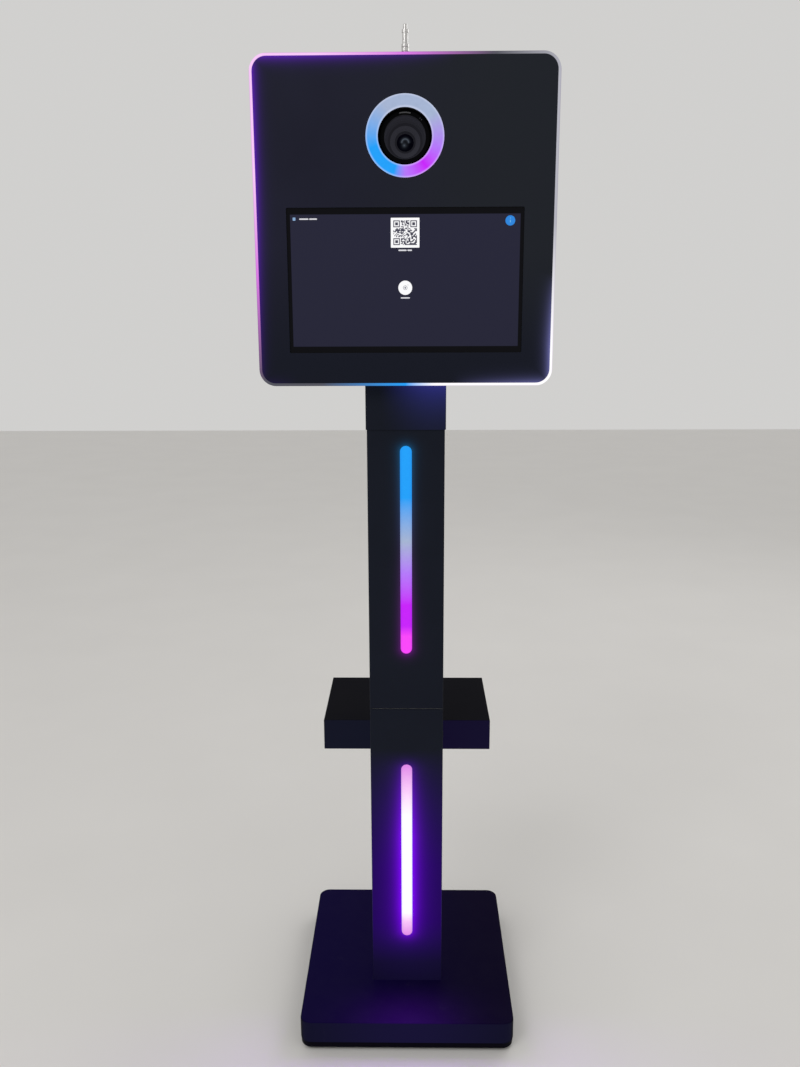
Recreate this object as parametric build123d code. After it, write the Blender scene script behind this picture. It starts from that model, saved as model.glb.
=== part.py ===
from build123d import *
import math
import os

# Photo booth: a square head with a touch display and a ringed camera lens, on a two-piece column with light
# slots, a printer shelf behind the column and a heavy flat base.
# Origin: centre of the base footprint on the floor. +Z is up and -Y is the side that faces the guest.
# Millimetres.

# Stock and clearances
SHEET = 2.0                 # folded steel sheet of the column, base cover, shelf and head
MOVE_GAP = 0.3              # between faces of bodies that slide or part
FIT_GAP = 0.2               # between pieces fixed in one body
RUN_GAP = 0.05              # radial, shafts that turn in holes
HOLE_GAP = 0.3              # radial, screw in a clearance hole
EDGE_BREAK = 0.8            # small bevel on sheet ends
HEX = 6                     # sides of a nut or a key socket
END_TRIM = 0.001            # keeps the two arcs of a round end apart

# Base
BASE_W = 370.0
BASE_D = 393.0
BASE_CORNER_R = 20.0
BASE_TOP = 55.4
FOOT_H = 5.0
FOOT_R = 16.0
FOOT_INSET = 40.0
FOOT_SCREW_R = 2.5
FOOT_HEAD_R = 5.0
FOOT_HEAD_T = 2.0
FOOT_RECESS = 3.5           # depth of the recess for the screw's head
FOOT_SCREW_REACH = 8.4      # into the plate
FOOT_HOLE_DEPTH = 9.0
FOOT_EDGE_R = 1.0
PLATE_T = 12.0
PLATE_INSET = 1.0
PLATE_EDGE_R = 3.0
COVER_EDGE_R = 3.0

# Column
COLUMN_W = 125.0
COLUMN_D = 60.0
COLUMN_FRONT = -86.0
COLUMN_CORNER_R = 2.5
COLUMN_LIP = 14.0
SEAM_Z = 586.4
SEAM_GAP = 1.2
FOOT_PLATE_T = 6.0
BOLT_R = 4.0
BOLT_HEAD_R = 7.0
BOLT_HEAD_H = 4.5
BOLT_SOCKET_R = 2.8
BOLT_TIP = 2.0              # past the tapped plate
BOLT_X = 42.0
BOLT_Y = 16.0
SPACER_R = 11.0
COVER_SCREW_R = 2.0
COVER_HEAD_R = 3.8
COVER_HEAD_T = 1.2
COVER_SOCKET_R = 1.4
COVER_SCREW_PITCH = 120.0

# Light slots in the column
SLOT_W = 19.0
LOWER_SLOT = (148.2, 483.9)
UPPER_SLOT_RISE = 100.4     # slot's lower end above the seam
UPPER_SLOT_DROP = 25.8      # slot's upper end below the sleeve
DIFFUSER_T = 3.0
DIFFUSER_LIP = 6.0
CHANNEL_D = 14.0
CHANNEL_WALL = 1.5
STRIP_W = 10.0
STRIP_T = 1.0
CHIP = 5.0
CHIP_T = 1.4
CHIP_PITCH = 20.0

# Joiner between the two column pieces
JOINER_BELOW = 86.4         # reach below the seam
JOINER_ABOVE = 85.6         # reach above the seam
JOINER_WALL = 3.0
JOINER_SCREW_R = 2.5
JOINER_HEAD_R = 4.75
JOINER_HEAD_T = 1.4
JOINER_SCREW_DROPS = (58.4, 20.4)

# Hand knobs
KNOB_R = 15.0
KNOB_LOBES = 7
KNOB_LOBE_R = 3.4
KNOB_NOTCH_R = 2.4
KNOB_CAP_R = 6.4
KNOB_CAP_T = 1.2
KNOB_T = 11.0
KNOB_HUB_R = 8.0
KNOB_HUB_T = 4.0
KNOB_STUD_R = 3.0
KNOB_X = 30.0
WELD_NUT_R = 7.5
WELD_NUT_T = 6.0
COLUMN_KNOB_RISE = 43.6     # above the seam
SLEEVE_KNOB_RISE = 24.0     # above the sleeve's lower edge
SHELF_KNOB_DROP = 28.4      # below the shelf's top

# Printer shelf
SHELF_W = 296.0
SHELF_D = 206.0
SHELF_TOP = 539.4
SHELF_H = 55.0
SHELF_EDGE_R = 1.2
BRACKET_PLATE_T = 4.0
BRACKET_PLATE_W = 112.0
ARM_T = 5.0
ARM_X = 51.0
ARM_LENGTH = 172.0
ARM_ROOT_H = 38.0
ARM_TIP_H = 16.0
SHELF_GUIDE_T = 2.0
SHELF_GUIDE_H = 14.0
SHELF_GUIDE_SPAN = (0.35, 0.65)     # shares of the shelf's depth
SHELF_NOTCH_GAP = 2.0

# Neck sleeve of the head
SLEEVE_H = 76.6
SLEEVE_WALL = 1.35
SLEEVE_FLANGE_T = 3.0
SLEEVE_FLANGE_W = 172.0
SLEEVE_FLANGE_D = 88.0
SLEEVE_FLANGE_R = 4.0
NECK_MARGIN_X = 22.5        # lead hole inside the column's outline
NECK_MARGIN_Y = 12.0
NECK_HOLE_R = 6.0
SLEEVE_BOLT_X = 76.0
SLEEVE_BOLT_Y = 30.0
SLEEVE_BOLT_R = 3.0
SLEEVE_BOLT_HEAD_R = 5.1
SLEEVE_BOLT_HEAD_T = 3.0
SLEEVE_NUT_R = 5.4
SLEEVE_NUT_T = 4.5
SLEEVE_BOLT_TIP = 2.5       # past the nut

# Head
HEAD_FRONT = -115.0
HEAD_TOP = 1607.7
PANEL_W = 443.6
PANEL_H = 467.9
PANEL_R = 21.0
PANEL_T = 2.5
PANEL_EDGE_R = 0.8
BAND_OUT = 4.3
BAND_T = 6.0
BAND_RIM = 23.0
BAND_INNER_R = 8.0
HOUSING_INSET = 3.8
HOUSING_REAR = 55.0
COLLAR_T = 1.5
STUD_R = 2.0
STUD_INSET = 11.5
STUD_TIP = 1.5              # past the nut
STUD_LEVEL_SHARE = 0.45     # place along the top and bottom edges
STUD_UPRIGHT_SHARE = 0.5    # place along the side edges
NUT_R = 3.7
NUT_T = 3.0
REAR_FLANGE = 16.0
EDGE_CHIP_PITCH = 16.0
EDGE_CHIP_AIR = 1.0         # between the chips and the acrylic frame
EDGE_CHIP_MARGIN = 0.4
DOOR_HOLE_R = 6.0
VENT_Y = (-60.0, 30.0)
VENT_PITCH = 15.0
VENT_DROP = 60.0            # below the housing's top
VENT_LEN = 50.0
VENT_W = 5.0

# Rear door
DOOR_INSET = 4.0
DOOR_R = 13.0
DOOR_GAP = 0.5
DOOR_RIB = 8.0
DOOR_RIB_T = 1.5
DOOR_RIB_R = 5.0
DOOR_RIB_GAP = 2.5
DOOR_EDGE_R = 0.8
GRILLE_MARGIN = 4.0
GRILLE_PITCH = 8.0
GRILLE_SLOT_W = 4.0
GRILLE_SLOT_MIN = 9.0
INTAKE_REACH = 150.0
INTAKE_DROP = 175.0         # below the middle of the head
INTAKE_LEN = 36.0
HINGE_Z = 150.0
HINGE_LEN = 50.0
HINGE_KNUCKLES = 5
KNUCKLE_R = 3.2
PIN_R = 1.5
LEAF_T = 1.5
LEAF_W = 24.0
KNUCKLE_WEB = 1.0
LOCK_X = 190.0
LOCK_R = 9.0
LOCK_HEAD_R = 12.0
LOCK_HEAD_T = 3.0
LOCK_EDGE_R = 0.8
LOCK_NECK = 1.0
KEY_W = 1.2
KEY_H = 8.0
KEY_DEPTH = 1.8
CAM_W = 11.0
CAM_REACH = 24.0
CAM_T = 2.5
CAM_GAP = 2.5

# Display
SCREEN_W = 344.2
SCREEN_H = 193.6
SCREEN_DROP = 315.3         # middle of the lit area below the top of the head
WINDOW_RIM_W = 5.6          # black glass between the lit area and the panel, at the sides
WINDOW_RIM_H = 9.6          # the same above and below
WINDOW_R = 2.0
GLASS_BORDER = 5.0
GLASS_T = 3.0
GLASS_R = 3.0
LCD_T = 1.2
MONITOR_D = 17.0
MONITOR_WALL = 2.0
MONITOR_INSET = 2.0         # case inside the glass
MONITOR_BOX_SHARES = (0.7, 0.6)
MONITOR_BOX_R = 4.0
MONITOR_BOX_EDGE_R = 2.0
MONITOR_VENT_REACH = 90.0
MONITOR_VENT_PITCH = 15.0
MONITOR_VENT_SHARE = 0.12   # of the case's height, above its middle
MONITOR_VENT_LEN = 24.0
MONITOR_VENT_W = 3.0
LCD_GAP = 0.5
CLAMP_W = 24.0
CLAMP_REACH = 12.0
CLAMP_SIDE_GAP = 1.0

# Ring light and lens
LENS_DROP = 109.5           # lens axis below the top of the head
RING_R = 57.6
RING_HOLE_R = 40.0
RING_LIP = 4.0
RING_T = 4.0
RING_PAN_D = 14.0
RING_CHIPS = 24
RING_TUBE_WALL = 1.5
RING_BOARD_T = 1.6

# Camera
NOSE_BACK = 12.0
NOSE_R = 37.6
NOSE_T = 15.0
NOSE_EDGE_R = 1.2
LENS_BORE_R = 30.0
LENS_BORE_DEPTH = 37.0
LENS_STEPS = (26.5, 23.0, 19.0, 16.0)       # radii of the baffles behind the bore
LENS_STEP_D = 2.0
CORE_R = 33.2
LENS_LENGTH = 75.0
ZOOM_R = 36.6
ZOOM_W = 24.0
FOCUS_R = 36.2
FOCUS_W = 14.0
MIDDLE_BAND_W = 6.0
ZOOM_RIBS = 72
FOCUS_RIBS = 90
RIB_GROOVE_R = 0.7
LENS_TAIL = 1.0             # step at the mount end
ELEMENT_R = 13.0
ELEMENT_T = 8.0
ELEMENT_DOME_R = 22.0
ELEMENT_DOME_RISE = 1.0
CAMERA_W = 128.0
CAMERA_H = 80.0
CAMERA_D = 56.0
CAMERA_DROP = 44.0
CAMERA_R = 9.0
HUMP_W = 50.0
HUMP_H = 18.0
HUMP_FOOT = (2.0, 54.0)     # fore-and-aft span at the body
HUMP_ROOF = (8.0, 40.0)     # fore-and-aft span at the top
HUMP_SINK = 1.0
GRIP_W = 26.0
GRIP_D = 18.0
GRIP_DROP = 6.0
GRIP_BACK = 12.0
GRIP_R = 7.0
MOUNT_RING_T = 2.0
REAR_SCREEN_X = (-24.0, 52.0)
REAR_SCREEN_Z = (10.0, 62.0)
REAR_SCREEN_T = 3.0
TRAY_T = 3.0
TRAY_W = 124.0
TRAY_D = 90.0
TRAY_R = 4.0
TRAY_SHIFT = 14.0           # middle of the tray ahead of the tripod screw
TRAY_TRAVEL = 8.0
TRIPOD_R = 3.1
TRIPOD_REACH = 5.5
TRIPOD_HOLE = 6.0
THUMB_R = 11.0
THUMB_T = 9.0
THUMB_TAIL_R = 7.0
THUMB_TAIL_T = 3.0
THUMB_FLUTES = 24
THUMB_FLUTE_R = 0.8
THUMB_FLUTE_OUT = 0.2
CAMERA_SHELF_D = 120.0
CAMERA_SHELF_CLEAR = 3.0    # behind it, to the door's rib
CAMERA_SHELF_SIDE = 26.0
CAMERA_SHELF_LIP = 14.0
GUIDE_FRONT = 10.0
GUIDE_REAR = 14.0
TRIPOD_SLOT_SLACK = 1.0
CABLE_HOLE_X = 130.0
CABLE_HOLE = (60.0, 40.0, 6.0)      # width, depth, corner radius
BUTTON_R = 5.0
BUTTON_TRAVEL = 1.5
BUTTON_WELL = 4.0
BUTTON_SHIFT = 1.0
BUTTON_EDGE_R = 0.5

# Boxes inside the head
PC_SIZE = (116.0, 112.0, 44.0)
SUPPLY_SIZE = (112.0, 118.0, 42.0)
DRIVER_SIZE = (86.0, 48.0, 22.0)
BOX_WALL_GAP = 16.0
BOX_REAR_GAP = 20.0
BOX_R = 4.0
PC_LIFT = 3.0
PC_PORT_WIDTHS = (9.0, 14.0, 14.0, 16.0, 16.0, 10.0)
PC_PORT_HEIGHTS = (6.0, 12.0)
PC_PORT_PITCH = 18.0
PC_PORT_DEPTH = 6.0
PC_PORT_RISE = 10.0
PC_GRILLE = (64.0, 8.0, 60.0, 3.0)  # width, pitch, slot length, slot width
PC_GRILLE_DEPTH = 2.0
PC_FOOT = (46.0, 42.0, 6.0)         # out, back, radius
SUPPLY_HOLE_R = 2.2
SUPPLY_HOLE_PITCH = 10.0
SUPPLY_HOLE_COUNTS = (9, 5)
SUPPLY_HOLE_DEPTH = 3.0
TERMINAL_SIZE = (92.0, 16.0, 16.0)
TERMINAL_BAY = (9.0, 9.0, 8.0)
TERMINAL_PITCH = 12.5
DRIVER_SIDE_GAP = 22.0
DRIVER_R = 3.0
EAR_SIZE = (9.0, 18.0, 3.0)
EAR_HOLE_R = 2.2
SOCKET_PITCH = 14.0
SOCKET_COUNT = 5
SOCKET_SIZE = (8.0, 5.0, 8.0)
SOCKET_RISE = 6.0
FAN_SIZE = 80.0
FAN_D = 25.0
FAN_DROP = 277.7            # fan axis below the top of the head
FAN_BORE_R = 37.5
FAN_BLADES = 7
ROTOR_R = 35.5
ROTOR_HUB_R = 16.0
FAN_PIN_R = 2.5
FAN_PIN_BACK = 8.0          # pin's end inside the frame's rear face
FAN_CORNER_R = 4.0
FAN_HOLE_R = 2.2
FAN_HOLE_INSET = 4.5
SPOKE_W = 4.0
SPOKE_T = 2.5
SPOKE_TURN = 45.0
ROTOR_REAR_GAP = 4.0
ROTOR_HUB_EDGE_R = 1.5
ROTOR_HUB_CAP = 3.0
BLADE_TURN = 38.0
BLADE_CHORD = 17.0
BLADE_T = 1.6
BLADE_ROOT = 1.5            # buried in the hub

# Inlet and switch under the head
INLET_X = -46.0
INLET_Y = 26.0
INLET_SIZE = (28.0, 22.0)
INLET_DEPTH = 24.0
INLET_FLANGE_T = 2.5
INLET_EAR = 10.0
INLET_RIM = 2.0
INLET_R = 3.0
INLET_WALL = 2.0
INLET_BACK = 3.0
INLET_BLADES = ((-7.0, -2.0), (7.0, -2.0), (0.0, 3.0))
INLET_BLADE_SIZE = (2.0, 4.0)
INLET_SCREW_R = 1.7
INLET_SCREW_OUT = 6.0
ROCKER_X = -8.0
ROCKER_SIZE = (21.0, 15.0)
ROCKER_RIM = 2.0
ROCKER_DEPTH = 16.0
ROCKER_WALL = 2.0
ROCKER_TIP_GAP = 0.6        # at each end, so that the corners clear the frame as it tips
ROCKER_PIN_R = 1.2
ROCKER_BACK = 3.0
ROCKER_DISH = 1.0           # hollow of its face
ROCKER_LIFT = 1.2           # ends of its face above the bezel's plane
ROCKER_H = 6.0
ROCKER_TAPER = 1.5
ROCKER_PIVOT_RISE = 2.0

# Accessory spigot on the head
SPIGOT_Y = -35.0
SPIGOT_COLLAR_R = 5.7
SPIGOT_COLLAR_H = 37.5
SPIGOT_WAIST_R = 4.4
SPIGOT_WAIST_TOP = 53.5
SPIGOT_HEAD_R = 5.1
SPIGOT_HEAD_TOP = 57.7
SPIGOT_TIP_R = 3.1
SPIGOT_TIP_TOP = 65.5
SPIGOT_TIP_EDGE = 0.6
SPIGOT_FOOT_R = 7.5
SPIGOT_FOOT_H = 3.0
SPIGOT_GROOVE_DROPS = (4.0, 10.0)
SPIGOT_GROOVE_W = 1.0
SPIGOT_NUT_R = 6.4
SPIGOT_NUT_T = 5.0
SPIGOT_TAIL = 6.0

# Places worked out from the sizes above
PLATE_TOP = FOOT_H + PLATE_T
COLUMN_REAR = COLUMN_FRONT + COLUMN_D
COLUMN_Y = (COLUMN_FRONT + COLUMN_REAR) / 2
COLUMN_IN_W = COLUMN_W - 2 * SHEET
LIP_REAR = COLUMN_REAR - SHEET
LIP_FRONT = LIP_REAR - SHEET
HEAD_Z = HEAD_TOP - PANEL_H / 2
BAND_FRONT = HEAD_FRONT + PANEL_T
HOUSING_FRONT = BAND_FRONT + BAND_T
HOUSING_W = PANEL_W - 2 * HOUSING_INSET
HOUSING_H = PANEL_H - 2 * HOUSING_INSET
HOUSING_R = PANEL_R - HOUSING_INSET
HOUSING_LOW = HEAD_Z - HOUSING_H / 2
HOUSING_TOP = HEAD_Z + HOUSING_H / 2
FLOOR_Z = HOUSING_LOW + SHEET
SLEEVE_TOP = HOUSING_LOW - SLEEVE_FLANGE_T
COLUMN_TOP = SLEEVE_TOP - MOVE_GAP
SLEEVE_LOW = SLEEVE_TOP - SLEEVE_H
UPPER_SLOT = (SEAM_Z + UPPER_SLOT_RISE, SLEEVE_LOW - UPPER_SLOT_DROP)
UPPER_LOW = SEAM_Z + SEAM_GAP
JOINER_LOW = SEAM_Z - JOINER_BELOW
JOINER_HIGH = SEAM_Z + JOINER_ABOVE
JOINER_SCREW_Z = tuple(SEAM_Z - drop for drop in JOINER_SCREW_DROPS)
COLUMN_KNOB_Z = SEAM_Z + COLUMN_KNOB_RISE
SHELF_KNOB_Z = SHELF_TOP - SHELF_KNOB_DROP
SLEEVE_KNOB_Z = SLEEVE_LOW + SLEEVE_KNOB_RISE
JOINER_REAR = LIP_FRONT - MOVE_GAP
JOINER_FRONT = COLUMN_FRONT + SHEET + MOVE_GAP
SLEEVE_REAR = COLUMN_REAR + MOVE_GAP + SLEEVE_WALL
SCREEN_Z = HEAD_TOP - SCREEN_DROP
WINDOW_W = SCREEN_W + 2 * WINDOW_RIM_W
WINDOW_H = SCREEN_H + 2 * WINDOW_RIM_H
LENS_Z = HEAD_TOP - LENS_DROP
FAN_Z = HEAD_TOP - FAN_DROP
NOSE_FRONT = HEAD_FRONT + NOSE_BACK
MOUNT_Y = NOSE_FRONT + LENS_LENGTH
CAMERA_LOW = LENS_Z - CAMERA_DROP
CAMERA_SHELF_TOP = CAMERA_LOW - TRAY_T - MOVE_GAP
DOOR_FRONT = HOUSING_REAR + DOOR_GAP
DOOR_REAR = DOOR_FRONT + SHEET
DOOR_W = HOUSING_W - 2 * DOOR_INSET
DOOR_H = HOUSING_H - 2 * DOOR_INSET
HINGE_X = -(HOUSING_W / 2 + KNUCKLE_R + FIT_GAP)
HINGE_Y = DOOR_FRONT + SHEET / 2
STRIP_INSET = EDGE_CHIP_AIR + CHIP_T
COLLAR_INSET = STRIP_INSET + STRIP_T + FIT_GAP / 4
LENS_SEAT = NOSE_FRONT + LENS_BORE_DEPTH
ELEMENT_FRONT = LENS_SEAT + LENS_STEP_D * len(LENS_STEPS)
MOUNT_RING_FRONT = MOUNT_Y - MOUNT_RING_T
RING_LIP_REAR = BAND_FRONT + RING_T - PANEL_T
RING_TUBE_R = RING_HOLE_R + RING_TUBE_WALL
TRIPOD_Y = MOUNT_Y + CAMERA_D / 2
ROCKER_PIVOT_Z = HOUSING_LOW + ROCKER_PIVOT_RISE


# --- Helpers ---

def slab_xz(sketch, front, back):
    """Solid of a sketch drawn in X and Z, from y = front to y = back."""
    return Pos(0, back, 0) * extrude(Plane.XZ * sketch, amount=back - front, dir=(0, -1, 0))


def slab_xy(sketch, low, high):
    """Solid of a sketch drawn in X and Y, from z = low to z = high."""
    return Pos(0, 0, low) * extrude(sketch, amount=high - low, dir=(0, 0, 1))


def slab_yz(sketch, left, right):
    """Solid of a sketch drawn in Y and Z, from x = left to x = right."""
    return Pos(left, 0, 0) * extrude(Plane.YZ * sketch, amount=right - left, dir=(1, 0, 0))


def block(x, y, z):
    """Box between two values along each axis."""
    size = [b - a for a, b in (x, y, z)]
    centre = [(a + b) / 2 for a, b in (x, y, z)]
    return Pos(*centre) * Box(*size)


def rod_y(radius, x, z, front, back):
    """Cylinder along Y."""
    return slab_xz(Pos(x, z) * Circle(radius), front, back)


def rod_z(radius, x, y, low, high):
    """Cylinder along Z."""
    return slab_xy(Pos(x, y) * Circle(radius), low, high)


def rod_x(radius, y, z, left, right):
    """Cylinder along X."""
    return slab_yz(Pos(y, z) * Circle(radius), left, right)


def group(pieces):
    """Separate solids that share one node."""
    return Compound(children=[solid for piece in pieces for solid in piece.solids()])


def write(name, shape):
    """One STEP file for one node."""
    export_step(shape, os.path.join("parts", name + ".step"))


def outline(width, height, radius):
    """Rounded rectangle on the head's centre, in X and Z."""
    return Pos(0, HEAD_Z) * RectangleRounded(width, height, radius)


def steps_between(low, high, pitch):
    """Evenly spaced values, about one pitch apart, with half a step left free at each end."""
    count = max(1, round((high - low) / pitch))
    step = (high - low) / count
    return [low + step * (i + 0.5) for i in range(count)]


# --- Base ---

def foot_places():
    """Centres of the four feet."""
    x = BASE_W / 2 - FOOT_INSET
    y = BASE_D / 2 - FOOT_INSET
    return [(sx * x, sy * y) for sx in (-1, 1) for sy in (-1, 1)]


def bolt_places():
    """Centres of the four bolts that hold the column to the base."""
    return [(sx * BOLT_X, COLUMN_Y + sy * BOLT_Y) for sx in (-1, 1) for sy in (-1, 1)]


def base_plate():
    """Heavy steel plate, the ballast of the base, with four spacer tubes welded on for the column bolts."""
    size = RectangleRounded(BASE_W - 2 * PLATE_INSET, BASE_D - 2 * PLATE_INSET, BASE_CORNER_R - PLATE_INSET)
    plate = slab_xy(size, FOOT_H, PLATE_TOP)
    plate = fillet(plate.faces().sort_by(Axis.Z)[0].edges(), PLATE_EDGE_R)
    for x, y in bolt_places():
        plate += rod_z(SPACER_R, x, y, PLATE_TOP, BASE_TOP - SHEET)
        plate -= rod_z(BOLT_R + HOLE_GAP, x, y, FOOT_H, BASE_TOP - SHEET)
        plate -= rod_z(BOLT_HEAD_R + HOLE_GAP, x, y, FOOT_H, FOOT_H + BOLT_HEAD_H + HOLE_GAP)
    for x, y in foot_places():
        plate -= rod_z(FOOT_SCREW_R, x, y, FOOT_H, FOOT_H + FOOT_HOLE_DEPTH)
    return plate


def base_cover():
    """Folded sheet cover, open below, that stands on the plate."""
    size = RectangleRounded(BASE_W, BASE_D, BASE_CORNER_R)
    cover = slab_xy(size, PLATE_TOP, BASE_TOP)
    cover = fillet(cover.faces().sort_by(Axis.Z)[-1].edges(), COVER_EDGE_R)
    hollow = RectangleRounded(BASE_W - 2 * SHEET, BASE_D - 2 * SHEET, BASE_CORNER_R - SHEET)
    cover -= slab_xy(hollow, PLATE_TOP, BASE_TOP - SHEET)
    for x, y in bolt_places():
        cover -= rod_z(BOLT_R + HOLE_GAP, x, y, BASE_TOP - SHEET, BASE_TOP)
    return cover


def base_feet():
    """Four rubber feet, each with a recess for its screw."""
    feet = []
    for x, y in foot_places():
        foot = rod_z(FOOT_R, x, y, 0, FOOT_H)
        foot = fillet(foot.faces().sort_by(Axis.Z)[0].edges(), FOOT_EDGE_R)
        foot -= rod_z(FOOT_SCREW_R + HOLE_GAP, x, y, 0, FOOT_H)
        foot -= rod_z(FOOT_HEAD_R + HOLE_GAP, x, y, 0, FOOT_RECESS)
        feet.append(foot)
    return group(feet)


def base_fasteners():
    """Everything screwed in from below: the four column bolts and the four foot screws."""
    return group([base_bolts(), foot_screws()])


def foot_screws():
    """Pan-head screws that hold the feet to the plate."""
    screws = []
    for x, y in foot_places():
        head = rod_z(FOOT_HEAD_R, x, y, FOOT_RECESS - FOOT_HEAD_T, FOOT_RECESS)
        shank = rod_z(FOOT_SCREW_R - RUN_GAP, x, y, FOOT_RECESS, FOOT_H + FOOT_SCREW_REACH)
        screws.append(head + shank)
    return group(screws)


def base_bolts():
    """Bolts from under the plate, up into the tapped plate at the foot of the column."""
    bolts = []
    for x, y in bolt_places():
        head = rod_z(BOLT_HEAD_R, x, y, FOOT_H, FOOT_H + BOLT_HEAD_H)
        socket = Pos(x, y, FOOT_H) * extrude(RegularPolygon(BOLT_SOCKET_R, HEX), BOLT_HEAD_H / 2)
        shank = rod_z(BOLT_R - RUN_GAP, x, y, FOOT_H + BOLT_HEAD_H, BASE_TOP + FOOT_PLATE_T + BOLT_TIP)
        bolts.append(head + shank - socket)
    return group(bolts)


# --- Column ---

def channel_section():
    """Folded column section: front, two sides and two lips at the back for the cover."""
    outer = Pos(0, COLUMN_Y) * RectangleRounded(COLUMN_W, COLUMN_D, COLUMN_CORNER_R)
    inner_front = COLUMN_FRONT + SHEET
    inner = Pos(0, (inner_front + LIP_FRONT) / 2) * Rectangle(COLUMN_IN_W, LIP_FRONT - inner_front)
    gap_w = COLUMN_IN_W - 2 * COLUMN_LIP
    mouth = Pos(0, (LIP_FRONT + COLUMN_REAR) / 2) * Rectangle(gap_w, COLUMN_REAR - LIP_FRONT)
    recess = Pos(0, (LIP_REAR + COLUMN_REAR) / 2) * Rectangle(COLUMN_IN_W, SHEET)
    return outer - inner - mouth - recess


def slot_outline(slot, width):
    """Upright slot with round ends."""
    low, high = slot
    return Pos(0, (low + high) / 2) * RectangleRounded(width, high - low, width / 2 - END_TRIM)


def column_shell(low, high, slot, cover_span, bevel_top):
    """One length of column with its light slot and the tapped holes of its cover screws."""
    shell = slab_xy(channel_section(), low, high)
    end = Axis.Z
    face_group = shell.faces().filter_by(Plane.XY).sort_by(end)
    end_face = face_group[-1] if bevel_top else face_group[0]
    front_edges = end_face.edges().filter_by(Axis.X).sort_by(Axis.Y)[:1]
    side_edges = end_face.edges().filter_by(Axis.Y).sort_by(Axis.X)
    outer_edges = [front_edges[0], side_edges[0], side_edges[-1]]
    corner_edges = end_face.edges().filter_by(GeomType.CIRCLE).sort_by(Axis.Y)[:2]
    shell = chamfer(outer_edges + list(corner_edges), EDGE_BREAK)
    shell -= slab_xz(slot_outline(slot, SLOT_W), COLUMN_FRONT, COLUMN_FRONT + SHEET)
    for x, z in cover_screw_places(*cover_span):
        shell -= rod_y(COVER_SCREW_R, x, z, LIP_FRONT, LIP_REAR)
    return shell


def cover_screw_places(low, high):
    """Centres of the screws down both edges of a column cover."""
    x = COLUMN_IN_W / 2 - COLUMN_LIP / 2
    return [(sx * x, z) for sx in (-1, 1) for z in steps_between(low, high, COVER_SCREW_PITCH)]


def column_cover(low, high, knob_z, hole_r):
    """Flat cover in the back of the column, with two holes or weld nuts for hand knobs."""
    width = COLUMN_IN_W - 2 * FIT_GAP
    cover = block((-width / 2, width / 2), (LIP_REAR, COLUMN_REAR), (low, high))
    for x, z in cover_screw_places(low, high):
        cover -= rod_y(COVER_SCREW_R + HOLE_GAP, x, z, LIP_REAR, COLUMN_REAR)
        cover -= rod_y(COVER_HEAD_R + FIT_GAP, x, z, COLUMN_REAR - COVER_HEAD_T, COLUMN_REAR)
    for x in (-KNOB_X, KNOB_X):
        cover -= rod_y(hole_r, x, knob_z, LIP_REAR, COLUMN_REAR)
    return cover


def cover_screws(low, high):
    """Sunk-head screws of a column cover, flush so that the neck sleeve slides over them."""
    seat = COLUMN_REAR - COVER_HEAD_T
    screws = []
    for x, z in cover_screw_places(low, high):
        head = rod_y(COVER_HEAD_R, x, z, seat, COLUMN_REAR)
        socket = Pos(x, z) * RegularPolygon(COVER_SOCKET_R, HEX)
        recess = slab_xz(socket, seat + COVER_HEAD_T / 2, COLUMN_REAR)
        shank = rod_y(COVER_SCREW_R - RUN_GAP, x, z, LIP_FRONT, seat)
        screws.append(head + shank - recess)
    return group(screws)


def light_diffuser(slot):
    """Opal acrylic bar: its face fills the slot and its wider back rests behind the front wall."""
    low, high = slot
    inner = COLUMN_FRONT + SHEET
    face = slab_xz(slot_outline((low + FIT_GAP, high - FIT_GAP), SLOT_W - 2 * FIT_GAP), COLUMN_FRONT, inner)
    wide = slot_outline((low - DIFFUSER_LIP, high + DIFFUSER_LIP), SLOT_W + 2 * DIFFUSER_LIP)
    return face + slab_xz(wide, inner, inner + DIFFUSER_T)


def light_channel(slot):
    """Aluminium U channel behind a diffuser."""
    low = slot[0] - DIFFUSER_LIP
    high = slot[1] + DIFFUSER_LIP
    half = SLOT_W / 2 + DIFFUSER_LIP
    front = COLUMN_FRONT + SHEET + DIFFUSER_T
    body = block((-half, half), (front, front + CHANNEL_D), (low, high))
    hollow_x = (-half + CHANNEL_WALL, half - CHANNEL_WALL)
    return body - block(hollow_x, (front, front + CHANNEL_D - CHANNEL_WALL), (low, high))


def led_strip(slot):
    """Circuit strip on the floor of the channel, with its chips in a row."""
    back = COLUMN_FRONT + SHEET + DIFFUSER_T + CHANNEL_D - CHANNEL_WALL
    front = back - STRIP_T
    low, high = slot
    pieces = [block((-STRIP_W / 2, STRIP_W / 2), (front, back), (low, high))]
    for z in steps_between(low, high, CHIP_PITCH):
        pieces.append(block((-CHIP / 2, CHIP / 2), (front - CHIP_T, front), (z - CHIP / 2, z + CHIP / 2)))
    return group(pieces)


def column_foot_plate():
    """Tapped steel plate welded inside the foot of the column."""
    width = COLUMN_IN_W
    front = COLUMN_FRONT + SHEET
    rear = LIP_FRONT
    plate = block((-width / 2, width / 2), (front, rear), (BASE_TOP, BASE_TOP + FOOT_PLATE_T))
    for x, y in bolt_places():
        plate -= rod_z(BOLT_R, x, y, BASE_TOP, BASE_TOP + FOOT_PLATE_T)
    return plate


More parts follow.
